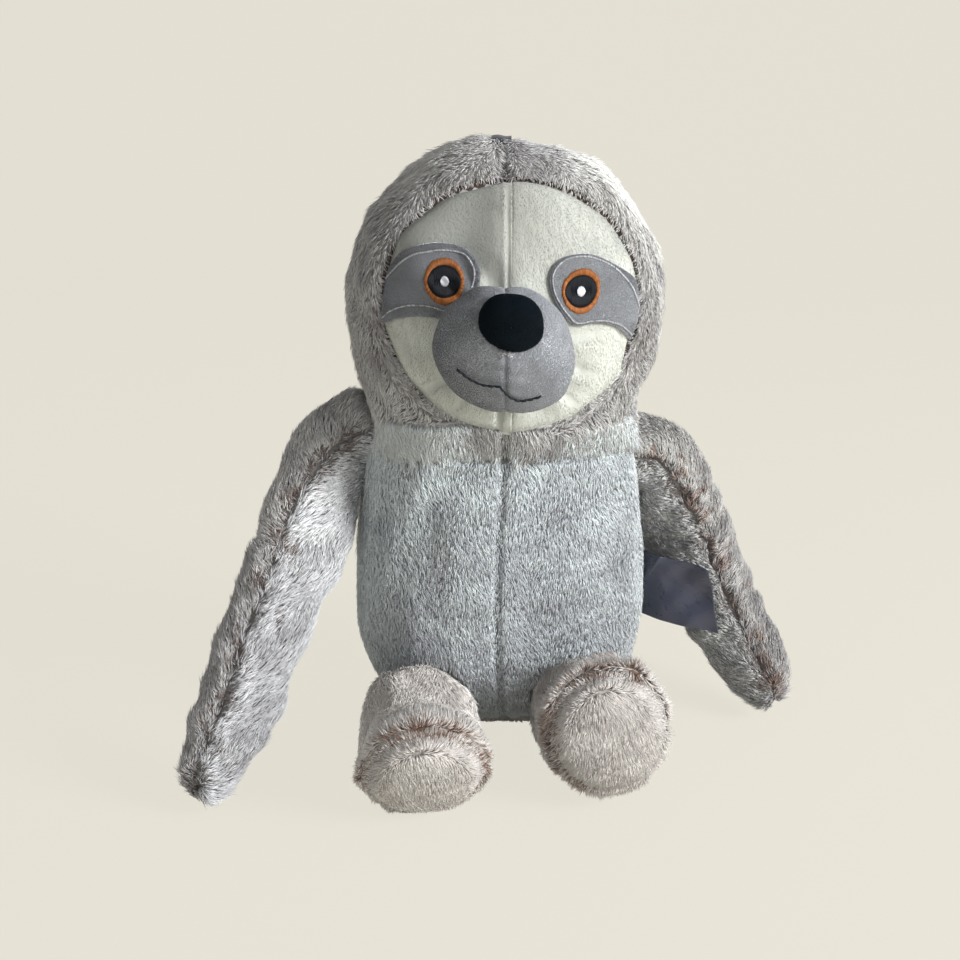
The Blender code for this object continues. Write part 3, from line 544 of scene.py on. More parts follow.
neckFur = pileMaterial("neck_fur", (0.25, 0.225, 0.215), (0.535, 0.53, 0.53), (0.92, 0.925, 0.935),
                       (0.60, 0.645, 0.675))
# The arms are one fabric in two copies: the left arm's panels are painted darker as painted shade, and
# the right arm's inner panel, paler of its own, is painted lighter still as painted light
armFursLitAndShaded = {place: pileMaterial("arm_" + place + "_fur", *colours) for place, *colours in (
    ("outer_right", (0.26, 0.235, 0.225), (0.56, 0.55, 0.55), (0.93, 0.925, 0.93),
     (0.115, 0.060, 0.040)),
    ("inner_right", (0.36, 0.35, 0.35), (0.69, 0.70, 0.715), (0.93, 0.94, 0.95),
     (0.12, 0.075, 0.055), ((0.62, 0.61, 0.63), (1.32, 1.33, 1.33))),
    ("outer_left", (0.22, 0.19, 0.175), (0.44, 0.43, 0.425), (0.80, 0.80, 0.80), (0.19, 0.080, 0.040)),
    ("inner_left", (0.27, 0.26, 0.255), (0.50, 0.505, 0.505), (0.82, 0.83, 0.84), (0.10, 0.060, 0.045)),
)}
legFur = pileMaterial("leg_fur", (0.36, 0.31, 0.285), (0.70, 0.665, 0.64), (0.98, 0.965, 0.95),
                      (0.165, 0.075, 0.036), ((0.80, 0.79, 0.79), (1.14, 1.14, 1.13)))


# How far outside the face opening a point of the hood is
def beyondFace(place):
    across = np.abs(place[..., 0] - face["centre"][0]) / face["halfWidth"]
    up = np.abs(place[..., 2] - face["centre"][1]) / face["halfHeight"]
    ratio = (across ** face["power"] + up ** face["power"]) ** (1 / face["power"])
    return np.where(place[..., 1] < 0, (ratio - 1) * 0.066, 0.066)


def hoodRelief(place, edge, v):
    away = beyondFace(place)
    crown = ease(v, 0.92, 0.98)
    seam = bump(edge, 0.0026) * (1 - crown) + 0.25 * crown
    return (0.0015 * waves(place, 0.055, 11) + 0.0005 * waves(place, 0.020, 12) - 0.0022 * seam
            - 0.0065 * (1 - ease(away, -0.005, 0.0005)) - 0.0010 * bump(away, 0.003) - pinch(place))


# Round the face the pile lies inwards over its rim, with brown roots. Its tone is painted lighter high
# on the left as a painted highlight, and low on the right by the chin as painted fill light
def hoodGroom(panel, place, edge, u, v):
    x, y, z = place.T
    away = beyondFace(place)
    rim, wall = ease(away, 0.010, 0.0), ease(away, 0.001, -0.002)
    inward = unit(vector(face["centre"][0] - x, 0, face["centre"][1] - z))
    flow = (vector(0.7 * np.clip(x / 0.020, -1, 1), 0, -1) * (1 - 0.8 * wall)[:, None]
            + inward * (1.5 * rim)[:, None])
    share = (1 - 0.30 * rim - 0.25 * wall) * (1 - 0.2 * bump(edge, 0.003)) * (
        1 + 0.25 * rim * waves(place, 0.009, 16))
    chance = (0.36 * rim + 0.20 * bump(edge, 0.0025)) * np.clip(0.4 + waves(place, 0.022, 15), 0, 1)
    # Painted light: a highlight high on the left and fill light low on the right by the chin; paler
    # across the top and darker along the seam
    frost = (0.80 * bump(x - 0.054, 0.028) * bump(z - 0.320, 0.030)
             + 0.80 * bump(x + 0.058, 0.022) * bump(z - 0.205, 0.018)
             + 0.22 * bump(z - 0.338, 0.018) * (1 - bump(x - 0.014, 0.016))
             - 0.45 * bump(edge, 0.0022) - 0.14 * bump(x - 0.010, 0.012))
    return flow, share, 0.10 * rim, chance, frost + 0.12 * waves(place, 0.024, 17)


hoodCoat = dict(longPile, count=29500)
for side, sign, first in halves:
    makeCloth("hood_fur_" + side, hoodFur, "head",
              ["hood_" + side] + ["head_filling"] * (side == "left"), 0.8,
              {20 + sign: Panel(headPoint, first, relief=hoodRelief)}, hoodCoat,
              hoodGroom, 70, 80, lambda place, v: beyondFace(place) > -0.0040,
              brown=lambda place, v: bump(beyondFace(place) + 0.0045, 0.0030))
print("hood made")


# The front's pile runs down and, on its right half, towards the middle; its right side, which lies in
# shade, is painted paler as painted fill light
def downGroom(panel, place, edge, u, v):
    x, y, z = place.T
    flow = vector(np.where(x < 0, -0.42, 0.10) * x / 0.06 + 0.05, 0, -1)
    top = bump(z - 0.172, 0.022) * (y < 0) * (0.16 + 0.24 * ease(-x, 0.005, 0.040))
    # Painted fill light: the right side is paler, with random tone over it
    shade = 0.36 * ease(-x, 0.050, 0.078) + 0.10 * waves(place, 0.030, 42)
    return flow, 1 - 0.25 * bump(edge, 0.003), 0, 0, top + shade


def hipRadius(extra=0.0):
    return leg["halfWidth"] * leg["rootShare"] + extra


# The legs' round roots sit in hollows of the body
def hipHollow(place, facing):
    radius = hipRadius(0.0012)
    for side in sides:
        away = place - legFrame(side)[0]
        along, span = dot(away, facing), dot(away, away)
        inside = along ** 2 + radius ** 2 - span
        push = np.where(span < radius ** 2, along + np.sqrt(np.maximum(inside, 0)), 0)
        place = place - facing * push[..., None]
    return place


def clearOfHips(place, v):
    return np.all([np.linalg.norm(place - legFrame(side)[0], axis=-1) > hipRadius()
                   for side in sides], axis=0)


def bodyRelief(place, edge, v):
    x, y, z = np.moveaxis(place, -1, 0)
    tucks = bump(z - 0.030, 0.020) * np.sin(x * 230 + 1.3)
    tall = place * np.array([1.0, 1.0, 0.45])
    under = bump(z, 0.018) * bump(x, 0.045) * ease(-y, 0.005, 0.020)
    return (-0.0105 * under + 0.0013 * waves(tall, 0.060, 31) + 0.0005 * waves(tall, 0.022, 33)
            - 0.0013 * bump(edge, 0.0024) + 0.0008 * tucks - pinch(place))


quarter = pi / 2
frontCloth = bodyFur, dict(longPile, count=29500, length=0.0062, width=0.00052)
backCloth = backFur, dict(longPile, count=19000, length=0.0084, width=0.00060)
for step, (name, (material, coat)) in enumerate((
        ("front_left", frontCloth), ("back_left", backCloth), ("back_right", backCloth),
        ("front_right", frontCloth))):
    makeCloth("body_fur_" + name, material, "torso",
              ["body_" + name] + ["body_filling", "bean_pouch"] * (step == 0), 0.7,
              {40 + step: Panel(bodyPoint, (step - 1) * quarter, quarter, relief=bodyRelief)}, coat,
              downGroom, 70, 50, clearOfHips, sink=hipHollow)


def neckRelief(place, edge, v):
    return 0.0012 * waves(place, 0.05, 51) - 0.0012 * bump(edge, 0.003) - pinch(place)


# The neck's pile ends over the body in uneven locks, and turns as pale as the body at both ends
def neckGroom(panel, place, edge, u, v):
    x, y, z = place.T
    flow, share, rise, chance, shift = downGroom(panel, place, edge, u, v)
    low, middle = 1 - ease(v, 0.15, 0.42), bump(x - 0.004, 0.030)
    front = ease(-y, 0.0, 0.02)
    flat = place * np.array([1, 1, 0.3])
    limit = (0.34 + ease(-x, 0.010, 0.034) + 0.55 * ease(x, 0.016, 0.045)
             + 0.24 * waves(flat, 0.014, 63) + 0.16 * waves(flat, 0.005, 64))
    pale = front * ease(limit - v, -0.06, 0.06)
    share = share * (1 - low * front * (0.30 - 0.30 * middle) + 0.40 * low * waves(place, 0.008, 61))
    # Painted fill light: the neck's right side, which lies in shade, is painted paler
    side = ease(-x, 0.020, 0.050)
    return (flow, share, rise, pale,
            (0.42 + 0.20 * side) * pale + 0.24 * side - 0.10 * middle + 0.16 * waves(place, 0.012, 62))


neckCoat = dict(longPile, count=13500, length=0.0098, lie=0.26)
for side, sign, first in halves:
    piece = makeCloth("neck_fur_" + side, neckFur, None, ["neck_" + side], 0.7,
                      {60 + sign: Panel(neckPoint, first, shares=(-0.32, 1.15), relief=neckRelief)},
                      neckCoat, neckGroom, 14, 80, lambda place, v: v > 0.13)
    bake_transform(piece)
print("body and neck made")


def basePoint(angle, share):
    flat = bodyPoint(angle, np.zeros_like(angle)) * (share * 0.985 + 0.001)[..., None]
    flat[..., 2] = 0.0042 + (0.0110 * ease(share, 0.40, 1.0) * bump(np.cos(angle), 0.75)
                             * (np.sin(angle) < 0))
    return flat


baseCoat = dict(longPile, count=3600, length=0.0060, depth=0.0, lie=0.10, sunk=-0.0008,
                thickness=0.0030)
makeCloth("base_fur", backFur, "torso", ["base_panel"], 0.5,
          {70: Panel(basePoint, 0), 73: Panel(basePoint, pi)}, baseCoat,
          lambda panel, place, edge, u, v: (np.array([0.1, 1.0, 0.0]), 1, 0, 0, 0), 24, 60)


def armRelief(side):
    def relief(place, edge, v):
        waist = np.sin(v * 46 + 1.7 * np.sin(v * 17 + sides[side])) * (1 - bump(edge, 0.006))
        deep = np.clip(0.75 + 0.5 * waves(place, 0.020, 84), 0.3, 1.2)
        return (0.0013 * waves(place, 0.045, 81 + sides[side]) - 0.0021 * deep * bump(edge, 0.0042)
                + 0.0009 * waves(place, 0.016, 83) * bump(edge, 0.016) + 0.0006 * waist)
    return relief


# The fur is combed up the arm and away from the seam along its front, where it shows brown roots
def armGroom(name):
    paintedTilt, level = arm["paintedLightTilts"][name]

    def groom(panel, place, edge, u, v):
        alongU, alongV = (unit(item) for item in panel.slopes(u, v))
        near = bump(edge, 0.0055)
        ways = 1.1 * near * waves(place, 0.007, 87) - 0.85 * np.clip((u - 0.5) * 2, -1, 1)
        patches = np.clip(0.34 + 0.8 * waves(place, 0.018, 85), 0.06, 1)
        blots = np.clip(waves(place, 0.017, 86) - 0.55, 0, 1)
        spots = sum(bump(v - spot, 0.018) for spot in arm["spots"][name])
        chance = (0.80 * near * patches + 0.6 * bump(edge, 0.015) * blots
                  + 0.9 * spots * bump(edge - 0.003, 0.0070))
        # Painted light and shade: the tone is lighter towards the shoulder and darker further down the
        # arm
        shift = 0.14 * bump(edge - 0.008, 0.005) + paintedTilt * np.clip(level - v, -0.16, 0.30)
        return alongU * ways[:, None] - alongV, 1 - 0.10 * near, 0.16 * near, chance, shift
    return groom


armCoat = dict(longPile, count=23000)
for side, sign in sides.items():
    for name, first, seed, inside in (("outer_" + side, -pi / 2, 90, []),
                                      ("inner_" + side, pi / 2, 95, ["arm_filling_" + side])):
        makeCloth("arm_fur_" + name, armFursLitAndShaded[name], side + "_arm", ["arm_" + name] + inside, 0.7,
                  {seed + sign: Panel(armPoint(side), first, turn=sign, relief=armRelief(side))},
                  armCoat, armGroom(name), 90, 36)
print("arms made")


# Legs: a tube of two panels, closed by a round sole with a parted seam round it
def legRootPoint(side):
    hip, forward, sideways, up = legFrame(side)
    tube = legPoint(side)

    def form(angle, share):
        turn = pi / 2 * np.clip(share / 0.35, 0.02, 1)
        ball = hip + hipRadius() * onRing(-forward, onRing(sideways, up, angle), turn)
        return np.where((share < 0.35)[..., None], ball, tube(angle, (share - 0.35) / 0.65))
    return form


def legRelief(place, edge, v):
    return (ease(v, 0.03, 0.16) * (0.0014 * waves(place, 0.038, 101) - 0.0010 * bump(edge, 0.003)
                                   + 0.0003 * waves(place, 0.014, 102))
            - 0.0034 * bump(1 - v, 0.05) + 0.0016 * bump(v - 0.84, 0.08))


# How brown the seam round the sole is on this side of it
def brownShare(side, place):
    hip, forward, sideways, up = legFrame(side)
    turn = np.arctan2(dot(place - hip, up) + leg["drops"][side], dot(place - hip, sideways))
    return np.clip(sum(weight * bump((turn - where + pi) % (2 * pi) - pi, width)
                       for where, width, weight in leg["browns"][side])
                   * (1 + 0.4 * waves(place, 0.012, 104)), 0, 1)


# Near the sole the pile runs back, away from the seam, and shows its brown roots
def legGroom(side):
    hip, forward, _, up = legFrame(side)
    # Painted light and shade: the right leg's pile is painted lighter, and the left leg's darker where
    # the body shades it
    pale = 0.30 if side == "right" else -0.16

    def groom(panel, place, edge, u, v):
        near, brown = ease(v, 0.62, 0.90), brownShare(side, place)
        high = np.clip(0.2 + dot(place - hip, up) / 0.035, 0, 1)
        return (forward * (0.7 - 1.7 * near)[:, None] + np.array([0, 0, -0.35]),
                1 - 0.25 * near * (1 - high), 0.22 * high * brown * bump(v - 0.90, 0.05),
                1.2 * ease(v, 0.88, 0.96) * brown,
                0.14 * bump(v - 0.84, 0.08) + 0.10 * waves(place, 0.016, 103) + pale)
    return groom


def solePoint(side):
    hip, forward, sideways, up = legFrame(side)
    bend = leg["solePitches"][side] - leg["pitches"][side]
    facing = forward * cos(bend) + up * sin(bend)
    ringUp = up * cos(bend) - forward * sin(bend)
    length, size = (column[-1] for column in leg["sizes"])
    centre = hip + forward * leg["length"] * length - up * leg["drops"][side]
    radius = leg["halfWidth"] * size

    def form(angle, share):
        dome = 0.0080 * (1 - share ** 2) - 0.0030 * bump(1 - share, 0.10)
        return (centre + facing * dome[..., None]
                + onRing(sideways, ringUp, angle) * (radius * np.maximum(share, 0.001))[..., None])
    return form


def soleGroom(side):
    # Painted shade: the left sole is painted darker
    paintedShade = 0.12 if side == "left" else 0.0

    def groom(panel, place, edge, u, v):
        rim = ease(v, 0.70, 0.92)
        alongV = unit(panel.slopes(u, v)[1])
        return (np.array([0.15, 0, -0.9]) + alongV * (1.9 * rim)[:, None], 1 - 0.15 * rim,
                0.06 * rim, 0.75 * ease(v, 0.86, 0.98) * brownShare(side, place),
                0.16 * waves(place, 0.014, 105) - paintedShade)
    return groom


def seamBrown(side, low, base):
    return lambda place, v: ease(v, low, 0.95) * (brownShare(side, place) + base)


legCoat = dict(longPile, count=22500, length=0.0076, lie=0.20, width=0.00050, spread=0.10)
soleCoat = dict(longPile, count=8500, length=0.0070, depth=0.0022, width=0.00050, lie=0.24,
                sunk=0.0022)
for side, sign in sides.items():
    for name, first, seed, inside in (("top_" + side, 0, 110, ["leg_filling_" + side]),
                                      ("under_" + side, pi, 113, [])):
        makeCloth("leg_fur_" + name, legFur, side + "_leg", ["leg_" + name] + inside, 0.7,
                  {seed + sign: Panel(legRootPoint(side), first, relief=legRelief)}, legCoat,
                  legGroom(side), 60, 50, lambda place, v: v > 0.05, brown=seamBrown(side, 0.90, 0.3))
    makeCloth("sole_fur_" + side, legFur, side + "_leg", ["sole_" + side], 0.6,
              {seed + sign: Panel(solePoint(side), first, turn=-1)
               for seed, first in ((130, 0), (133, pi))},
              soleCoat, soleGroom(side), 30, 50, mark=0.2, brown=seamBrown(side, 0.88, 0.2))
print("legs made")


# Face: places on it are across and up, and a lift off its plush
def frontDepth(across, up):
    rise = (up - head["middle"]) / np.where(up > head["middle"], head["top"] - head["middle"],
                                            head["lowerReach"])
    size = np.maximum(1 - np.clip(rise, -0.999, 0.999) ** 2, 0) ** (head["fullness"] / 2)
    share = np.clip(np.abs(across) / (head["halfWidth"] * size), 0, 0.999)
    return head["front"] * size * (1 - share ** head["power"]) ** (1 / head["power"])


def frontFacing(across, up):
    step = 2e-4
    slopeX = (frontDepth(across + step, up) - frontDepth(across - step, up)) / (2 * step)
    slopeZ = (frontDepth(across, up + step) - frontDepth(across, up - step)) / (2 * step)
    return unit(vector(-slopeX, -1, -slopeZ))


def fromMuzzle(across, up):
    return np.hypot((across - muzzle["centre"][0]) / muzzle["halfWidth"],
                    (up - muzzle["centre"][1]) / muzzle["halfHeight"])


def faceRelief(across, up):
    place, away = vector(across, 0, up), fromMuzzle(across, up)
    inside = -beyondFace(vector(across, -1, up))
    turn = np.arctan2(up - muzzle["centre"][1], across - muzzle["centre"][0])
    gathers = bump(away - 1.05, 0.40) * np.sin(turn * 11 + 2.5 * np.sin(turn * 2 + 1))
    creases = sum(depth * bump((turn - where) * away, width)
                  for where, width, depth in face["creases"]) * bump(away - 1.2, 0.35)
    seam = bump(across - face["seam"], 0.0010) * ease(up, face["centre"][1] - 0.01, 0.280)
    welt = bump(across - face["seam"] + 0.0022, 0.0016) * ease(up, 0.256, 0.280)
    dentX, dentZ, depth = face["dent"]
    dent = depth * bump(across - dentX - 0.25 * (up - dentZ), 0.0155) * bump(up - dentZ, 0.028)
    return (0.0010 * waves(place, 0.034, 141) + 0.0010 * gathers - creases - 0.0005 * seam - dent
            + 0.0003 * welt - 0.0024 * bump(inside, 0.0026) - 0.0010 * bump(inside, 0.008))


def facePoint(across, up, lift=0.0):
    height = faceRelief(across, up) - face["inset"] + lift
    return vector(across, -frontDepth(across, up), up) + frontFacing(across, up) * height[..., None]


def facePointRound(centre, radius, angle, lift):
    return facePoint(centre[0] + radius * np.cos(angle), centre[1] + radius * np.sin(angle), lift)


def faceForm(angle, share):
    radius = superRadius(angle, face["halfWidth"] + 0.0026, face["halfHeight"] + 0.0020, face["power"])
    return facePointRound(face["centre"], radius * np.maximum(share, 0.002), angle,
                          -0.0022 * ease(share, 0.955, 1.0))


facePlush = pileMaterial(
    "face_plush", (0.70, 0.72, 0.645), (0.80, 0.825, 0.75), (0.85, 0.88, 0.81), (0.35, 0.35, 0.30),
    ((0.40, 0.40, 0.41), (1.02, 1.02, 1.02)), rootShare=0.6, frostFrom=0.2, roughness=0.8, sheen=0.2,
    shine=0.2)
greyMinky = pileMaterial(
    "grey_minky", (0.20, 0.208, 0.23), (0.275, 0.292, 0.325), (0.56, 0.60, 0.65), (0.125, 0.13, 0.145),
    ((0.40, 0.40, 0.41), (1.60, 1.60, 1.60)), rootShare=0.5, roughness=0.5, sheen=0.7, shine=0.45)
noseVelour = pileMaterial(
    "nose_velour", (0.002, 0.005, 0.009), (0.003, 0.008, 0.013), (0.009, 0.019, 0.029),
    (0.01, 0.012, 0.02), ((0.7, 0.7, 0.7), (1.3, 1.3, 1.3)), rootShare=0.5, frostFrom=0.35,
    roughness=0.8, sheen=0.02, shine=0.1)


def shortGroom(flow, shade=lambda place: 0):
    def groom(panel, place, edge, u, v):
        ways = np.tile(flow, (len(place), 1))
        ways[:, 0] *= np.sign(place[:, 0])
        return ways, 1, 0, 0, shade(place)
    return groom


# Painted shade: the forehead is painted darker high up, and much darker on its right half, where less
# light falls; the streaks are the nap
def faceNapAndPaintedShade(place):
    x, y, z = place.T
    high = ease(z, 0.280, 0.298)
    paintedShade = ease(x, 0.000, -0.014) * (0.35 + 0.65 * ease(x, -0.056, -0.036))
    streaks = waves(place * np.array([1, 0.3, 0.3]), 0.0032, 151)
    # high and paintedShade darken the tone as painted shade
    return 0.44 + 0.055 * streaks + 0.05 * waves(place, 0.014, 152) - high * (0.15 + 0.72 * paintedShade)


faceCoat = dict(
    shortPile, count=11000, length=0.0016, speckle=0.03, patchy=0.0, strands=0.02, width=0.00026,
    depth=0.00021, lie=0.02, spread=0.10, swirl=0.2, clump=0.0, arch=0.13, sunk=0.0002)
for side, sign, first in halves:
    makeCloth("face_plush_" + side, facePlush, "head", ["face_" + side], 0.8,
              {150 + sign: Panel(faceForm, first, turn=-1)}, faceCoat,
              shortGroom((0.15, 0, -1), lambda place: faceNapAndPaintedShade(place) - 0.5), 110, 150,
              lambda place, v: (fromMuzzle(place[:, 0], place[:, 2]) > 0.8) & (v < 0.985),
              tone=faceNapAndPaintedShade, mark=0.7)
print("face made")


def muzzleRelief(place, edge, v):
    front = ease(v, 0.35, 0.6)
    wrinkles = bump(edge, 0.012) * np.sin(place[..., 2] * 900 + place[..., 0] * 200) * front
    return 0.0007 * waves(place, 0.022, 161) - 0.0009 * bump(edge, 0.0013) * front + 0.00025 * wrinkles


def muzzleLightAndShade(place):         # painted shade: the muzzle's right half is painted darker, and its left half a little lighter as painted light
    x = place[:, 0]
    return 0.10 * ease(x, 0.006, 0.030) - 0.52 * ease(x, 0.006, -0.022)


muzzleCoat = dict(shortPile, count=20000, length=0.0012, lie=0.22, width=0.00032, speckle=0.04,
                  patchy=0.04, strands=0.03)
for side, sign, first in halves:
    makeCloth("muzzle_minky_" + side, greyMinky, "head", ["muzzle_" + side], 0.9,
              {170 + sign: Panel(muzzlePoint, first, shares=(0.18, 1.0), relief=muzzleRelief)},
              muzzleCoat, shortGroom((0.3, 0.7, -1), muzzleLightAndShade), 60, 60, tone=0.5, mark=0.6)

nose = dict(centre=(0.0030, 0.2668), halfDepth=0.0100, setBack=0.0035, lean=0.12,
            outline=(0.0154, 0.0154, 0.0152, 0.0147, 0.0160, 0.0162, 0.0156, 0.0149, 0.0141, 0.0146,
                     0.0154, 0.0162))


def nosePoint(angle, share):
    turn = pi * np.clip(share, 0.004, 0.996)
    radius = outlineRadius(nose["outline"], angle) * np.sin(turn) ** 0.85
    up = radius * np.sin(angle)
    tip = head["front"] - face["inset"] + muzzle["reach"]
    return vector(nose["centre"][0] + radius * np.cos(angle),
                  nose["setBack"] - tip - nose["halfDepth"] * np.cos(turn) - nose["lean"] * up,
                  nose["centre"][1] + up)


noseCoat = dict(shortPile, count=9000, length=0.0010, width=0.00028, lie=0.7)
makeCloth("nose_velour", noseVelour, "head", ["nose"], 0.95,
          {180: Panel(nosePoint, 0, turn=-1), 183: Panel(nosePoint, pi, turn=-1)},
          noseCoat, shortGroom((0.3, 0.2, -1)), 40, 40, tone=0.5, mark=0.6)
print("muzzle and nose made")


def threadMaterial(name, dark, pale, roughness=0.45):
    board = Board(bpy.data.materials.new(name))
    return board.surface(Base_Color=board.blend(board.rise(board.tone(), 0.0, 1.0), dark, pale),
                         Roughness=roughness, Specular_IOR_Level=0.3)


# Closed tubes round rows of middle points
def addTubes(heap, middle, aside, facing, size, around, tone, twist=0.0, creep=0.0):
    count, rings = middle.shape[:2]
    angles = 2 * pi * np.arange(around) / around
    ways = onRing(aside[:, :, None], facing[:, :, None], angles)
    faces = []
    for corner in range((rings - 1) * around):
        after = corner // around * around + (corner + 1) % around
        faces += [(corner, after, after + around), (corner, after + around, corner + around)]
    last = (rings - 1) * around
    for step in range(1, around - 1):
        faces += [(0, step + 1, step), (last, last + step, last + step + 1)]
    up = 0.5 + 0.2 * np.cos(angles + twist) + creep * np.arange(rings)[:, None]
    heap.add(middle[:, :, None] + ways * size[:, None, None],
             np.array(faces) + (np.arange(count) * rings * around)[:, None, None],
             np.stack(np.broadcast_arrays(tone[..., None], up), -1))


# Stitches: threads on the face, arched between their ends
def addStitches(heap, ends, lift, radius, draw):
    shares = np.linspace(0, 1, 5)
    line = ends[:, :1] + (ends[:, 1:] - ends[:, :1]) * shares[:, None]
    across, up = line[..., 0], line[..., 1]
    place = facePoint(across, up, lift + 0.0004 * np.sin(pi * shares))
    facing = frontFacing(across, up)
    aside = unit(np.cross(facing, unit(place[:, -1:] - place[:, :1])))
    tone = np.clip(draw.normal(0.5, 0.2, (len(ends), 1)), 0.05, 0.95)
    addTubes(heap, place, aside, facing, radius * np.array([0.6, 1, 1, 1, 0.6]), 5, tone, 0.3, 0.01)


eye = dict(places={"right": (-0.0311, 0.2816), "left": (0.0392, 0.2761)}, ringStitches=190,
           rings={"right": (0.0103, 0.0120), "left": (0.0102, 0.0115)}, pupil=0.0083, highlight=0.0021)
patch = dict(
    thickness=0.0010, stitch=0.0010,
    outlines={"right": (
        (-0.0611, 0.2879), (-0.0551, 0.2939), (-0.0479, 0.2977), (-0.0398, 0.3004), (-0.0330, 0.3014),
        (-0.0262, 0.3010), (-0.0205, 0.2990), (-0.0160, 0.2949), (-0.0133, 0.2896), (-0.0127, 0.2842),
        (-0.0140, 0.2790), (-0.0175, 0.2745), (-0.0230, 0.2700), (-0.0300, 0.2626), (-0.0401, 0.2630),
        (-0.0471, 0.2628), (-0.0554, 0.2611), (-0.0640, 0.2575), (-0.0678, 0.2620), (-0.0676, 0.2721),
        (-0.0655, 0.2812)), "left": (
        (0.0225, 0.2819), (0.0230, 0.2862), (0.0252, 0.2904), (0.0298, 0.2936), (0.0354, 0.2948),
        (0.0423, 0.2946), (0.0493, 0.2923), (0.0565, 0.2884), (0.0640, 0.2838), (0.0690, 0.2799),
        (0.0727, 0.2734), (0.0743, 0.2655), (0.0744, 0.2585), (0.0728, 0.2500), (0.0690, 0.2462),
        (0.0652, 0.2505), (0.0595, 0.2553), (0.0521, 0.2581), (0.0450, 0.2588), (0.0392, 0.2581),
        (0.0346, 0.2590), (0.0311, 0.2626), (0.0276, 0.2673), (0.0242, 0.2741))},
    lines={"right": ((
        (-0.0640, 0.2800), (-0.0599, 0.2837), (-0.0538, 0.2892), (-0.0468, 0.2936), (-0.0398, 0.2956),
        (-0.0341, 0.2970), (-0.0273, 0.2972), (-0.0216, 0.2958), (-0.0183, 0.2927), (-0.0161, 0.2885),
        (-0.0158, 0.2842), (-0.0170, 0.2790)), (
        (-0.0650, 0.2600), (-0.0634, 0.2608), (-0.0590, 0.2647), (-0.0517, 0.2677), (-0.0435, 0.2686),
        (-0.0377, 0.2681), (-0.0308, 0.2666), (-0.0280, 0.2650))), "left": ((
        (0.0720, 0.2640), (0.0672, 0.2745), (0.0612, 0.2815), (0.0552, 0.2868), (0.0485, 0.2906),
        (0.0420, 0.2928), (0.0356, 0.2931), (0.0306, 0.2920), (0.0266, 0.2892), (0.0247, 0.2858),
        (0.0243, 0.2819), (0.0258, 0.2750), (0.0291, 0.2684), (0.0325, 0.2638), (0.0355, 0.2606),
        (0.0394, 0.2597), (0.0450, 0.2603), (0.0526, 0.2597), (0.0603, 0.2567), (0.0656, 0.2523),
        (0.0690, 0.2490)),)},
)
orangeThread = threadMaterial("orange_thread", (0.20, 0.056, 0.011), (0.47, 0.175, 0.045))
blackThread = threadMaterial("black_thread", (0.003, 0.005, 0.008), (0.009, 0.012, 0.018), 0.6)
whiteThread = threadMaterial("white_thread", (0.62, 0.66, 0.70), (0.86, 0.88, 0.92))
silverThread = threadMaterial("silver_thread", (0.20, 0.205, 0.22), (0.66, 0.67, 0.70), 0.4)


def smoothLine(points, count, closed=False):
    points = np.array(points)
    total = len(points)
    spans = total if closed else total - 1
    place = np.arange(count) / (count if closed else count - 1) * spans
    index = np.minimum(place.astype(int), spans - 1)
    local = (place - index)[:, None]
    steps = [(index + step) % total if closed else np.clip(index + step, 0, total - 1)
             for step in (-1, 0, 1, 2)]
    p0, p1, p2, p3 = (points[step] for step in steps)
    return 0.5 * (2 * p1 + (p2 - p0) * local + (2 * p0 - 5 * p1 + 4 * p2 - p3) * local ** 2
                  + (3 * p1 - p0 - 3 * p2 + p3) * local ** 3)


def patchForm(side):
    centre = np.array(eye["places"][side])
    away = smoothLine(patch["outlines"][side], 900, closed=True) - centre
    angles = np.arctan2(away[:, 1], away[:, 0])
    order = np.argsort(angles)
    angles, radii = angles[order], np.linalg.norm(away, axis=1)[order]

    def form(angle, share):
        radius = np.interp((angle + pi) % (2 * pi) - pi, angles, radii, period=2 * pi)
        lift = patch["thickness"] * (1 - ease(share, 0.96, 1.0) * 0.9) + 0.0006
        return facePointRound(centre, radius * np.maximum(share, 0.002), angle, lift)
    return form


# The pile between the stitch line and the patch's edge is darker
def patchGroom(side):
    lines = np.concatenate([smoothLine(line, 200) for line in patch["lines"][side]])
    centre = np.array(eye["places"][side])
    # Painted shade: the right eye's patch is painted darker
    shift = -0.08 if side == "right" else 0.0

    def groom(panel, place, edge, u, v):
        flat = place[:, [0, 2]]
        gaps = np.linalg.norm(flat[:, None] - lines[None], axis=2)
        nearest = lines[gaps.argmin(1)]
        beyond = np.linalg.norm(flat - centre, axis=1) > np.linalg.norm(nearest - centre, axis=1)
        hem = beyond & (gaps.min(1) < 0.0045)
        return np.array([0.12, 0, -1.0]), 1, 0, hem * 0.65, shift
    return groom


# Places of stitches: crosswise along a line, round an eye, and in rows that fill a spot
def lineEnds(line, draw):
    points = smoothLine(line, 1200)
    run = runLengths(points)
    places = np.arange(0, run[-1], 0.00042)
    points = np.stack([np.interp(places, run, points[:, axis]) for axis in range(2)], -1)
    ahead = unit(np.gradient(points, axis=0))
    reach = patch["stitch"] * draw.uniform(0.4, 0.6, len(points))[:, None]
    half = ahead[:, ::-1] * [1, -1] * reach + ahead * 0.0003
    ends = np.stack([points - half, points + half], 1)
    return ends[beyondFace(vector(points[:, 0], -1, points[:, 1])) < 0.0004]


def ringEnds(side, draw):
    turns = 2 * pi * np.arange(eye["ringStitches"]) / eye["ringStitches"]
    inner, outer = (onRing(np.array([1, 0]), np.array([0, 1]), turns + slant) for slant in (0, 0.04))
    spread = draw.normal(0, 0.00018, eye["ringStitches"])[:, None]
    return np.stack([inner * (eye["pupil"] - 0.0002),
                     outer * (np.array(eye["rings"][side]) - 0.0001 + spread)], 1)


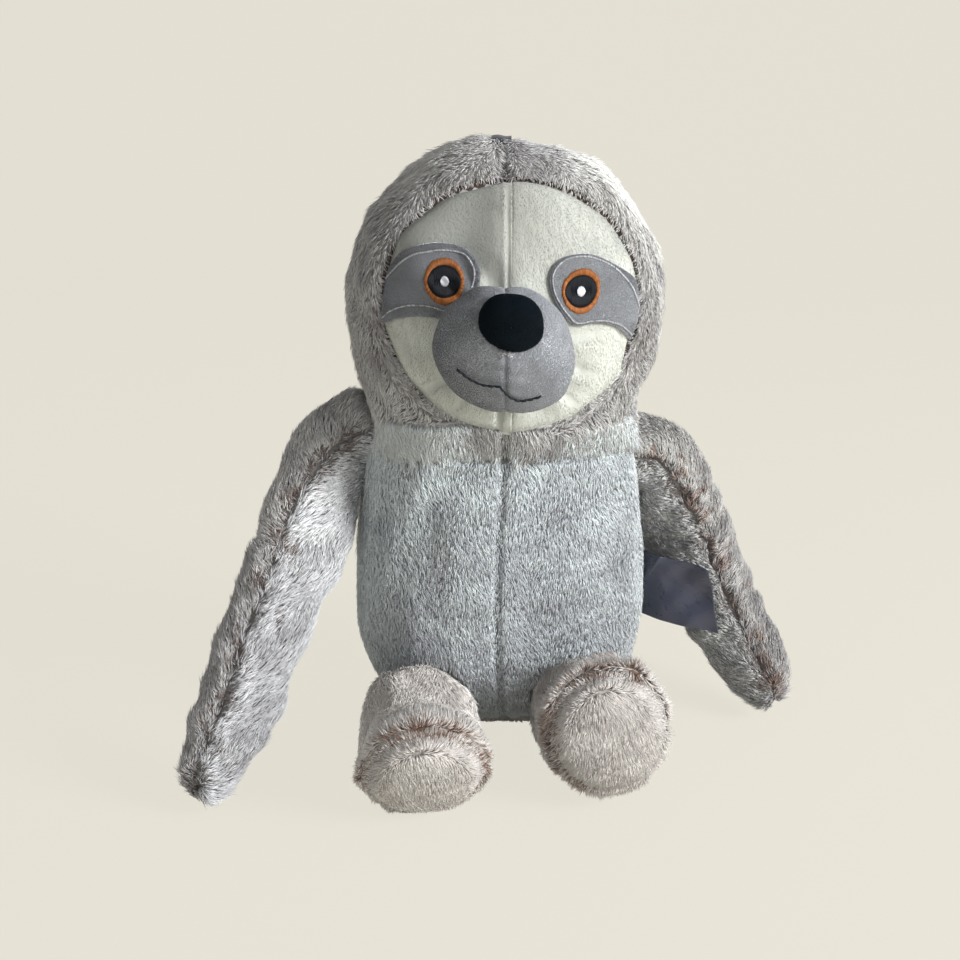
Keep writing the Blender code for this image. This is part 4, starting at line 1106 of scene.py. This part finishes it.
def spotEnds(reach, tall):
    ends = []
    for row, across in enumerate(np.arange(-reach + 0.0002, reach, 0.00036)):
        half = tall * sqrt(max(reach ** 2 - across ** 2, 0))
        cuts = np.linspace(-half, half, max(1, int(half * 2 / 0.0062)) + 1)
        cuts[1:-1] += 0.0011 * (row % 3 - 1)
        ends += [((across, low), (across, high)) for low, high in zip(cuts, cuts[1:])]
    return np.array(ends)


draw = np.random.default_rng(200)
patchCoat = dict(shortPile, count=9000, length=0.0012, width=0.00030, spread=0.15, swirl=0.2,
                 speckle=0.04, patchy=0.04, strands=0.03, sunk=0.0002)
for side, sign in sides.items():
    makeCloth("eye_patch_minky_" + side, greyMinky, "head", ["eye_patch_" + side], None,
              {seed + sign: Panel(patchForm(side), first, turn=-1)
               for seed, first in ((207, -pi), (210, 0))},
              patchCoat, patchGroom(side), 40, 90, tone=0.5, mark=0.6)
    heap = Heap()
    for line in patch["lines"][side]:
        addStitches(heap, lineEnds(line, draw), 0.0018, 0.00020, draw)
    heap.replace("patch_stitches_" + side, silverThread, "head", ["patch_stitching_" + side])
    for name, material, ends, lift, radius in (
            ("eye_ring_", orangeThread, ringEnds(side, draw), 0.0017, 0.00022),
            ("eye_pupil_", blackThread, spotEnds(eye["pupil"], 1.0), 0.0018, 0.00024),
            ("eye_highlight_", whiteThread, spotEnds(eye["highlight"], 1.3), 0.0022, 0.00024)):
        heap = Heap()
        addStitches(heap, np.array(eye["places"][side]) + ends, lift, radius, draw)
        heap.replace(name + "stitches_" + side, material, "head", [name + side])
print("eyes made")

mouth = dict(
    radius=0.00066, stitch=0.0034, sight=0.26, sightDepth=0.098,
    lines=(((-0.0231, 0.2439), (-0.0201, 0.2415), (-0.0168, 0.2390), (-0.0114, 0.2364),
            (-0.0070, 0.2356), (-0.0024, 0.2353)),
           ((-0.0024, 0.2353), (-0.0004, 0.2328), (0.0029, 0.2299), (0.0072, 0.2283),
            (0.0127, 0.2290), (0.0176, 0.2306))),
)


def muzzleFront(across, up):
    low, high = np.full_like(across, muzzle["sizes"][0][1]), np.ones_like(across)
    for _ in range(30):
        middle = (low + high) / 2
        x = across - muzzle["centre"][0]
        rise = muzzle["centre"][1] + muzzle["rise"] * middle ** 2
        ring = muzzlePoint(np.arctan2(up - rise, x), middle)
        inside = np.hypot(x, up - rise) < np.hypot(ring[:, 0] - muzzle["centre"][0], ring[:, 2] - rise)
        low, high = np.where(inside, middle, low), np.where(inside, high, middle)
    return muzzlePoint(np.arctan2(up - rise, x), low)


# One twisted thread along a line that was read off as it is seen from the front and a little above
def addThread(heap, line):
    seen = smoothLine(line, 90)
    x, z = seen.T
    for _ in range(8):
        z = seen[:, 1] - mouth["sight"] * (muzzleFront(x, z)[:, 1] + mouth["sightDepth"])
    step = 3e-4
    points = muzzleFront(x, z)
    facing = unit(np.cross(muzzleFront(x, z + step) - muzzleFront(x, z - step),
                           muzzleFront(x + step, z) - muzzleFront(x - step, z)))
    facing *= np.where(facing[:, 1] > 0, -1, 1)[:, None]
    swell = np.abs(np.sin(pi * runLengths(points) / mouth["stitch"])) ** 0.5
    aside = unit(np.cross(facing, unit(np.gradient(points, axis=0))))
    middle = points + facing * (0.0007 + 0.0005 * swell)[:, None]
    addTubes(heap, middle[None], aside[None], facing[None], mouth["radius"] * (0.6 + 0.4 * swell), 8,
             swell * 0.5 + 0.1)


heap = Heap()
for line in mouth["lines"]:
    addThread(heap, line)
heap.replace("mouth_stitches", blackThread, "head", ["mouth_thread"])

# The bare care label and the ribbon end at the crown
label = dict(width=0.0470, height=0.0410, thickness=0.00035, middle=0.0910, fall=0.0075, skew=0.17,
             swing=radians(-17))
crownRibbon = dict(width=0.0105, length=0.0170, thickness=0.0006, lift=0.0014)


def satinMaterial():
    board = Board(bpy.data.materials.new("navy_satin"))
    spot = board.spot()
    weave = board.node("ShaderNodeTexWave", {"wave_type": "BANDS", "bands_direction": "Y"},
                       {"Vector": spot, "Scale": 9.0, "Distortion": 0.0, "Detail": 0.0}, out=1)
    blot = board.node("ShaderNodeTexNoise", {}, {"Vector": spot, "Scale": 7.0, "Detail": 3.0})
    crumple = board.node("ShaderNodeTexNoise", {}, {"Vector": spot, "Scale": 2.4, "Detail": 0.0,
                                                    "Distortion": 1.2})
    bumped = board.node("ShaderNodeBump", {}, {"Strength": 0.30, "Distance": 0.004, "Height": crumple})
    colour = board.blend(weave * 0.12 + blot * 0.6, (0.012, 0.016, 0.036), (0.044, 0.053, 0.094))
    return board.surface(Base_Color=colour, Roughness=board.rise(blot, 0.2, 0.8) * 0.14 + 0.24,
                         Specular_IOR_Level=0.9, Normal=bumped)


navySatin = satinMaterial()


def makeSheet(name, rides, node, middle, marks, thickness):
    facing = unit(np.cross(np.gradient(middle, axis=1), np.gradient(middle, axis=0))) * thickness / 2
    heap = Heap()
    heap.add(np.concatenate([middle + facing, middle - facing]), sheetFaces(*middle.shape[:2]),
             np.concatenate([marks, marks]))
    return heap.replace(name, navySatin, rides, [node])


def makeLabel():
    u, v = evenGrid(60, 64)
    seam = bodyPoint(np.zeros(1), np.full(1, label["middle"] / body["height"]))[0]
    fold = np.abs((u - 0.34) * 0.8 + (1 - v) * 0.45)    # a crease slants down from the upper edge
    curl = (0.0026 * np.sin(u * 5.0 + v * 1.4) * u + 0.0013 * np.sin(v * 6.5 + 0.6) * u
            + 0.0022 * np.exp(-fold * 14) + 0.0030 * ease(u, 0.02, 0.35)
            + 0.0006 * np.sin(u * 13 - v * 12) * u)
    ahead = np.array([cos(label["swing"]), sin(label["swing"]), 0])
    aside = np.array([-sin(label["swing"]), cos(label["swing"]), 0])
    out = u * label["width"] * (1 + label["skew"] * (0.45 - v)) - 0.003
    height = (v - 0.5) * label["height"] - label["fall"] * u ** 1.1
    middle = seam + ahead * out[..., None] - aside * curl[..., None] + vector(0, 0, height)
    piece = makeSheet("care_ribbon", "label", "care_label", middle, np.stack([u, v], -1),
                      label["thickness"])


def makeCrownRibbon():
    u, v = evenGrid(24, 14)
    low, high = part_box("crown_ribbon")
    width, length = crownRibbon["width"], crownRibbon["length"]
    z = (low[2] - 0.0004 + crownRibbon["lift"] * np.sin(pi * v) ** 0.7 + 0.0004 * np.sin(u * 6)
         - 0.0060 * (1 - v) ** 3)
    piece = makeSheet("crown_ribbon_end", "head", "crown_ribbon",
                      vector(low[0] + u * width, low[1] + v * length, z),
                      np.stack([u * 0.25, v * 0.4], -1), crownRibbon["thickness"])


makeLabel()
makeCrownRibbon()
print("mouth, label and ribbon made")

# Floor, light and camera
studio = dict(paper=(0.799, 0.768, 0.680, 1), keyPower=37.0, fillPower=1.5, world=0.37,
              sky=(1.0, 0.99, 0.97, 1), sweep=1.2, halfWidth=4.0, cameraDistance=0.75,
              cameraPitch=radians(18), metresPerPixel=0.58e-3, pixels=960)


def paperMaterial():
    board = Board(bpy.data.materials.new("pale_paper"))
    path = board.node("ShaderNodeLightPath")
    seen = path.calc("MAXIMUM", path, path.other("Is Glossy Ray"))
    plain = board.node("ShaderNodeBsdfDiffuse", {}, {"Color": studio["paper"]})
    glow = board.node("ShaderNodeEmission", {}, {"Color": studio["paper"], "Strength": 1.0})
    return board.finish(board.node("ShaderNodeMixShader", {}, {0: seen * 0.92, 1: plain, 2: glow}))


def makeFloor():
    sweep = studio["sweep"]
    turns = [pi / 2 * step / 40 for step in range(41)]
    profile = [(-3.0, 0.0), *((1.6 + sweep * sin(turn), sweep - sweep * cos(turn)) for turn in turns),
               (2.8, 4.0)]
    mesh = bpy.data.meshes.new("floor_and_backdrop")
    half = studio["halfWidth"]
    mesh.from_pydata([(x, y, z) for y, z in profile for x in (-half, half)], [],
                     [(2 * row, 2 * row + 1, 2 * row + 3, 2 * row + 2)
                      for row in range(len(profile) - 1)])
    mesh.shade_smooth()
    mesh.materials.append(paperMaterial())
    addObject("floor_and_backdrop", mesh)


def makeLamp(name, place, size, power):
    data = bpy.data.lights.new(name, "AREA")
    data.energy, data.size = power, size
    lamp = addObject(name, data)
    lamp.location = place
    x, y, z = place[0], place[1], place[2] - 0.15
    lamp.rotation_euler = (np.arctan2(np.hypot(x, y), z), 0, np.arctan2(x, -y))


def makeWorld():
    board = Board(bpy.data.worlds.new("studio"))
    sky = board.node("ShaderNodeBackground", {}, {"Color": studio["sky"], "Strength": studio["world"]})
    seen = board.node("ShaderNodeBackground", {}, {"Color": studio["paper"]})
    path = board.node("ShaderNodeLightPath")
    bpy.context.scene.world = board.finish(
        board.node("ShaderNodeMixShader", {}, {0: path, 1: sky, 2: seen}), "ShaderNodeOutputWorld")


def makeCamera():
    data = bpy.data.cameras.new("camera")
    distance, pitch, pixels = studio["cameraDistance"], studio["cameraPitch"], studio["pixels"]
    data.lens = distance / studio["metresPerPixel"] / pixels * data.sensor_width
    data.shift_x, data.shift_y = -25 / pixels, -10 / pixels
    camera = addObject("camera", data)
    camera.location = (0, -distance * cos(pitch), 0.16 + distance * sin(pitch))
    camera.rotation_euler = (pi / 2 - pitch, 0, 0)
    bpy.context.scene.camera = camera


makeFloor()
makeLamp("key_light", (1.32, -0.72, 0.78), 0.6, studio["keyPower"])
makeLamp("fill_light", (-0.9, -1.2, 1.0), 1.2, studio["fillPower"])
makeWorld()
makeCamera()
bpy.context.scene.view_settings.view_transform = "Standard"
print("studio made")
